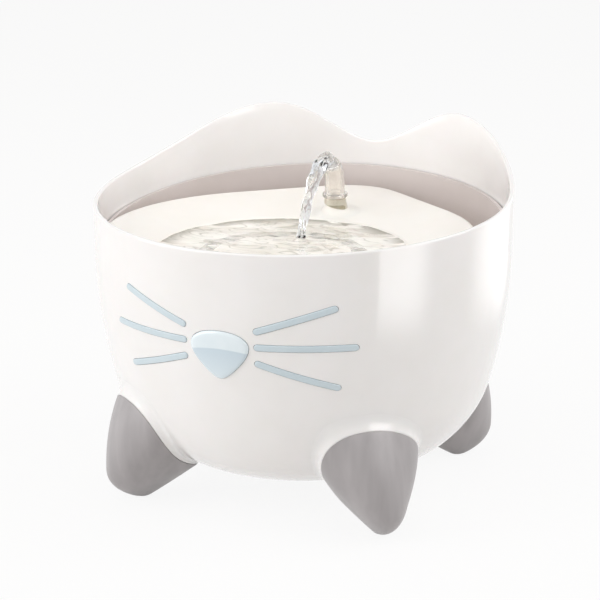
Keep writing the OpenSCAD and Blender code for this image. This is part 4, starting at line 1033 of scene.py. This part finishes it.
def waterWithPaintedLines(name, clear, shade, line, size, stretch, brim=None):
    # fresh water: clear, with painted grey-beige and thin dark lines that stand in for what its
    # ripples bend into view; brim gives a middle and two radii in metres between which the lines
    # grow
    look = waterLook
    material, tree, coords = newMaterial(name)
    place = stretchCoords(tree, coords, stretch)
    amount = mapValue(tree, noiseAt(tree, place, size), look["shadeMin"], look["shadeMax"])
    tint = mixColours(tree, amount, clear, shade)
    swirl = noiseAt(tree, place, look["lineSize"] * size, look["lineDetail"],
                    Distortion=look["lineBend"])
    # painted lines: thin dark contours that stand in for what the ripples bend into view
    paintedLines = addNode(tree, "ShaderNodeValToRGB", {"Fac": swirl})
    stops = paintedLines.color_ramp.elements
    stops[0].position = look["lineMiddle"] - look["lineHalf"]
    stops[1].position = look["lineMiddle"] + look["lineHalf"]
    stops[1].color = (0, 0, 0, 1)
    stops.new(look["lineMiddle"]).color = (look["lineLevel"],) * 3 + (1,)
    tint = mixColours(tree, paintedLines.outputs[0], tint, line)
    if brim:
        # painted shade: darker lines where the water climbs the brim
        middle, fromR, toR = brim
        settings = {"operation": "DISTANCE", 0: coords, 1: middle}
        away = addNode(tree, "ShaderNodeVectorMath", settings).outputs["Value"]
        climb = mapValue(tree, away, fromR, toR)
        paintedBrimShade = mapValue(tree, swirl, look["streakMin"], look["streakMax"])
        tint = mixColours(tree, compute(tree, "MULTIPLY", climb, paintedBrimShade), tint, line)
    closePrincipled(tree, {"Base Color": tint, "IOR": look["ior"], "Roughness": look["roughness"],
                           "Transmission Weight": 1.0})
    return material


poolBrimPaintedShade = ((0, -top["poolY"] * mm, pool["level"] * mm), *(r * mm for r in pool["brimLines"]))
# Fresh water of the pool: painted grey-beige and thin dark lines stand in for the cream dish bent
# by the ripples
poolWaterPaintedLines = waterWithPaintedLines("poolWaterPaintedLines", "#ECECEC", "#CBC7C0", "#7F7B72", 30,
                                (1, 2.2, 1), poolBrimPaintedShade)
# Fresh water of the falling stream: nearly colourless, with painted pale lines along it that stand
# in for what it bends into view
streamWaterPaintedLines = waterWithPaintedLines("streamWaterPaintedLines", "#F6F8FA", "#E3E8EE", "#C3C6C8", 9,
                                  (1.2, 1.2, 0.6))
# Painted shadow under the collar: a thin sheet on the neck that shows the cream below it, darker
collarShadowFilmFinish = waterWithPaintedLines("collarShadowFilmFinish", "#CBC6B9", "#C2BCAD", "#B9B2A2", 9,
                                (1, 1, 0.6))
waterPieces = [(makePool(), "top", poolWaterPaintedLines),
               (makeStream(), "nozzle_body", streamWaterPaintedLines),
               (makeCollarShadowFilm(), "top", collarShadowFilmFinish)]
for piece, body, finish in waterPieces:
    finishPiece(piece, body, finish, angle=60)
for piece in (nozzlePiece, *(row[0] for row in waterPieces)):
    # clear pieces pass the lamps' light on
    piece.visible_shadow = False
print("nozzle and water made")


# sizes and places of the studio are in metres, angles in degrees; paper tooth and lens in mm
studio = {
    "floorSize": 14, "floorGlow": 0.9, "paper": "#ECEAE8", "worldLevel": 0.5, "sky": "#FBF9F8",
    "tooth": 10 / 9, "toothBump": 0.05, "toothDepth": 0.2,
    # azimuth from the front with right positive, rise, distance, size, brightness of its face
    "lamps": {"windowLeft": (-50, 16, 1.7, (1.3, 1.5), 2.4),
              "frontSky": (-20, 58, 1.7, (1.8, 1.2), 0.65),
              "fillRight": (104, 38, 1.7, (1.4, 1.2), 2.1),
              "overhead": (0, 84, 1.6, (1.4, 1.4), 0.44)},
    "insideSize": (0.06, 0.06), "insideLevel": 7.0, "insideAt": (0.035, -0.03, 0.168),
    "insideTo": (-0.4, 0.2, 0.89),
    # azimuth, width, brightness, shares of the face over which it fades: left, right, low, high
    "strips": {"stripRight": (68, 0.14, 2.6, (0.02, 0.5, 0.3, 0.02)),
               "stripRear": (127, 0.26, 1.15, (0.3, 0.3, 0.25, 0.02))},
    "stripAway": 0.27, "stripHeight": 0.3, "stripAim": (0, 0, 0.154),
    "lens": 102, "sensor": 36, "shift": (-0.0058, 0.0598),
    "cameraAt": (0.3334, -0.8319, 0.3550), "cameraAim": (0, 0, 0.08),
}


def lookAlong(direction):
    return Vector(direction).to_track_quat("-Z", "Y").to_euler()


def seenDirectly(tree):
    # 1 for what the camera sees itself, through clear pieces and in glossy ones
    rays = addNode(tree, "ShaderNodeLightPath").outputs
    seen = compute(tree, "MAXIMUM", rays["Is Camera Ray"], rays["Is Transmission Ray"])
    return compute(tree, "MAXIMUM", seen, rays["Is Glossy Ray"])


def mixShaders(tree, share, first, second):
    settings = {"Fac": share, 1: first.outputs[0], 2: second.outputs[0]}
    return addNode(tree, "ShaderNodeMixShader", settings)


def makeFloor():
    clearSelection()
    bpy.ops.mesh.primitive_plane_add(size=studio["floorSize"], location=(0, 0, 0))
    floor = bpy.context.object
    floor.name = "floor"
    # seamless paper: dead white, fine tooth
    material, tree, coords = newMaterial("paperWhite")
    tooth = bumpFrom(tree, noiseAt(tree, coords, studio["tooth"]), studio["toothBump"],
                     studio["toothDepth"])
    paper = addNode(tree, "ShaderNodeBsdfDiffuse",
                    {"Color": linear(studio["paper"]), "Normal": tooth})
    glow = addNode(tree, "ShaderNodeEmission", {"Color": (1, 1, 1, 1), "Strength": 1.0})
    share = compute(tree, "MULTIPLY", seenDirectly(tree), studio["floorGlow"])
    closeMaterial(tree, mixShaders(tree, share, paper, glow))
    floor.data.materials.append(material)


def makeWorld():
    world = bpy.data.worlds.new("studio")
    bpy.context.scene.world = world
    world.use_nodes = True
    tree = world.node_tree
    tree.nodes.clear()
    dim = addNode(tree, "ShaderNodeBackground",
                  {"Color": linear(studio["sky"]), "Strength": studio["worldLevel"]})
    white = addNode(tree, "ShaderNodeBackground", {"Color": (1, 1, 1, 1), "Strength": 1.0})
    mix = mixShaders(tree, seenDirectly(tree), dim, white)
    addNode(tree, "ShaderNodeOutputWorld", {"Surface": mix.outputs[0]})


def addLamp(name, azimuth, rise, distance, size, level, aim=(0, 0, 0.1)):
    data = bpy.data.lights.new(name, "AREA")
    data.shape = "RECTANGLE"
    data.size, data.size_y = size
    data.energy = level * size[0] * size[1] * pi
    lamp = bpy.data.objects.new(name, data)
    bpy.context.scene.collection.objects.link(lamp)
    a, e = radians(azimuth), radians(rise)
    away = Vector((sin(a) * cos(e), -cos(a) * cos(e), sin(e)))
    lamp.location = Vector(aim) + away * distance
    lamp.rotation_euler = lookAlong(Vector(aim) - lamp.location)
    lamp.visible_camera = False
    return lamp


def fadeLamp(lamp, left, right, low, high):
    # the lamp's face dims towards its edges, over these shares of its width and height
    lamp.data.use_nodes = True
    tree = lamp.data.node_tree
    tree.nodes.clear()
    spot = addNode(tree, "ShaderNodeNewGeometry").outputs["Parametric"]
    axes = addNode(tree, "ShaderNodeSeparateXYZ", {"Vector": spot}).outputs
    level = None
    for axis, edge, share in (("X", 0, left), ("X", 1, right), ("Y", 0, low), ("Y", 1, high)):
        fade = mapValue(tree, axes[axis], edge, abs(edge - share), kind="SMOOTHSTEP")
        level = fade if level is None else compute(tree, "MULTIPLY", level, fade)
    shader = addNode(tree, "ShaderNodeEmission", {"Strength": level})
    addNode(tree, "ShaderNodeOutputLight", {"Surface": shader.outputs[0]})


def makeLamps():
    for name, place in studio["lamps"].items():
        addLamp(name, *place)
    # small lamp low over the dish, turned up and back, opens up the inside of the tall back wall
    inside = addLamp("insideBack", 0, 0, 0.0, studio["insideSize"], studio["insideLevel"])
    inside.location = studio["insideAt"]
    inside.rotation_euler = lookAlong(studio["insideTo"])
    inside.visible_glossy = inside.visible_transmission = False
    # low strips beside the bowl draw the upright shines on its glossy wall
    for name, (azimuth, width, level, fades) in studio["strips"].items():
        strip = addLamp(name, azimuth, 0, studio["stripAway"], (width, studio["stripHeight"]),
                        level, studio["stripAim"])
        strip.visible_diffuse = strip.visible_transmission = False
        fadeLamp(strip, *fades)


def makeCamera():
    data = bpy.data.cameras.new("camera")
    data.lens, data.sensor_width = studio["lens"], studio["sensor"]
    data.shift_x, data.shift_y = studio["shift"]
    camera = bpy.data.objects.new("camera", data)
    bpy.context.scene.collection.objects.link(camera)
    camera.location = studio["cameraAt"]
    camera.rotation_euler = lookAlong(Vector(studio["cameraAim"]) - camera.location)
    bpy.context.scene.camera = camera


makeFloor()
makeWorld()
makeLamps()
makeCamera()
bpy.context.scene.view_settings.view_transform = "Standard"
print("studio ready")
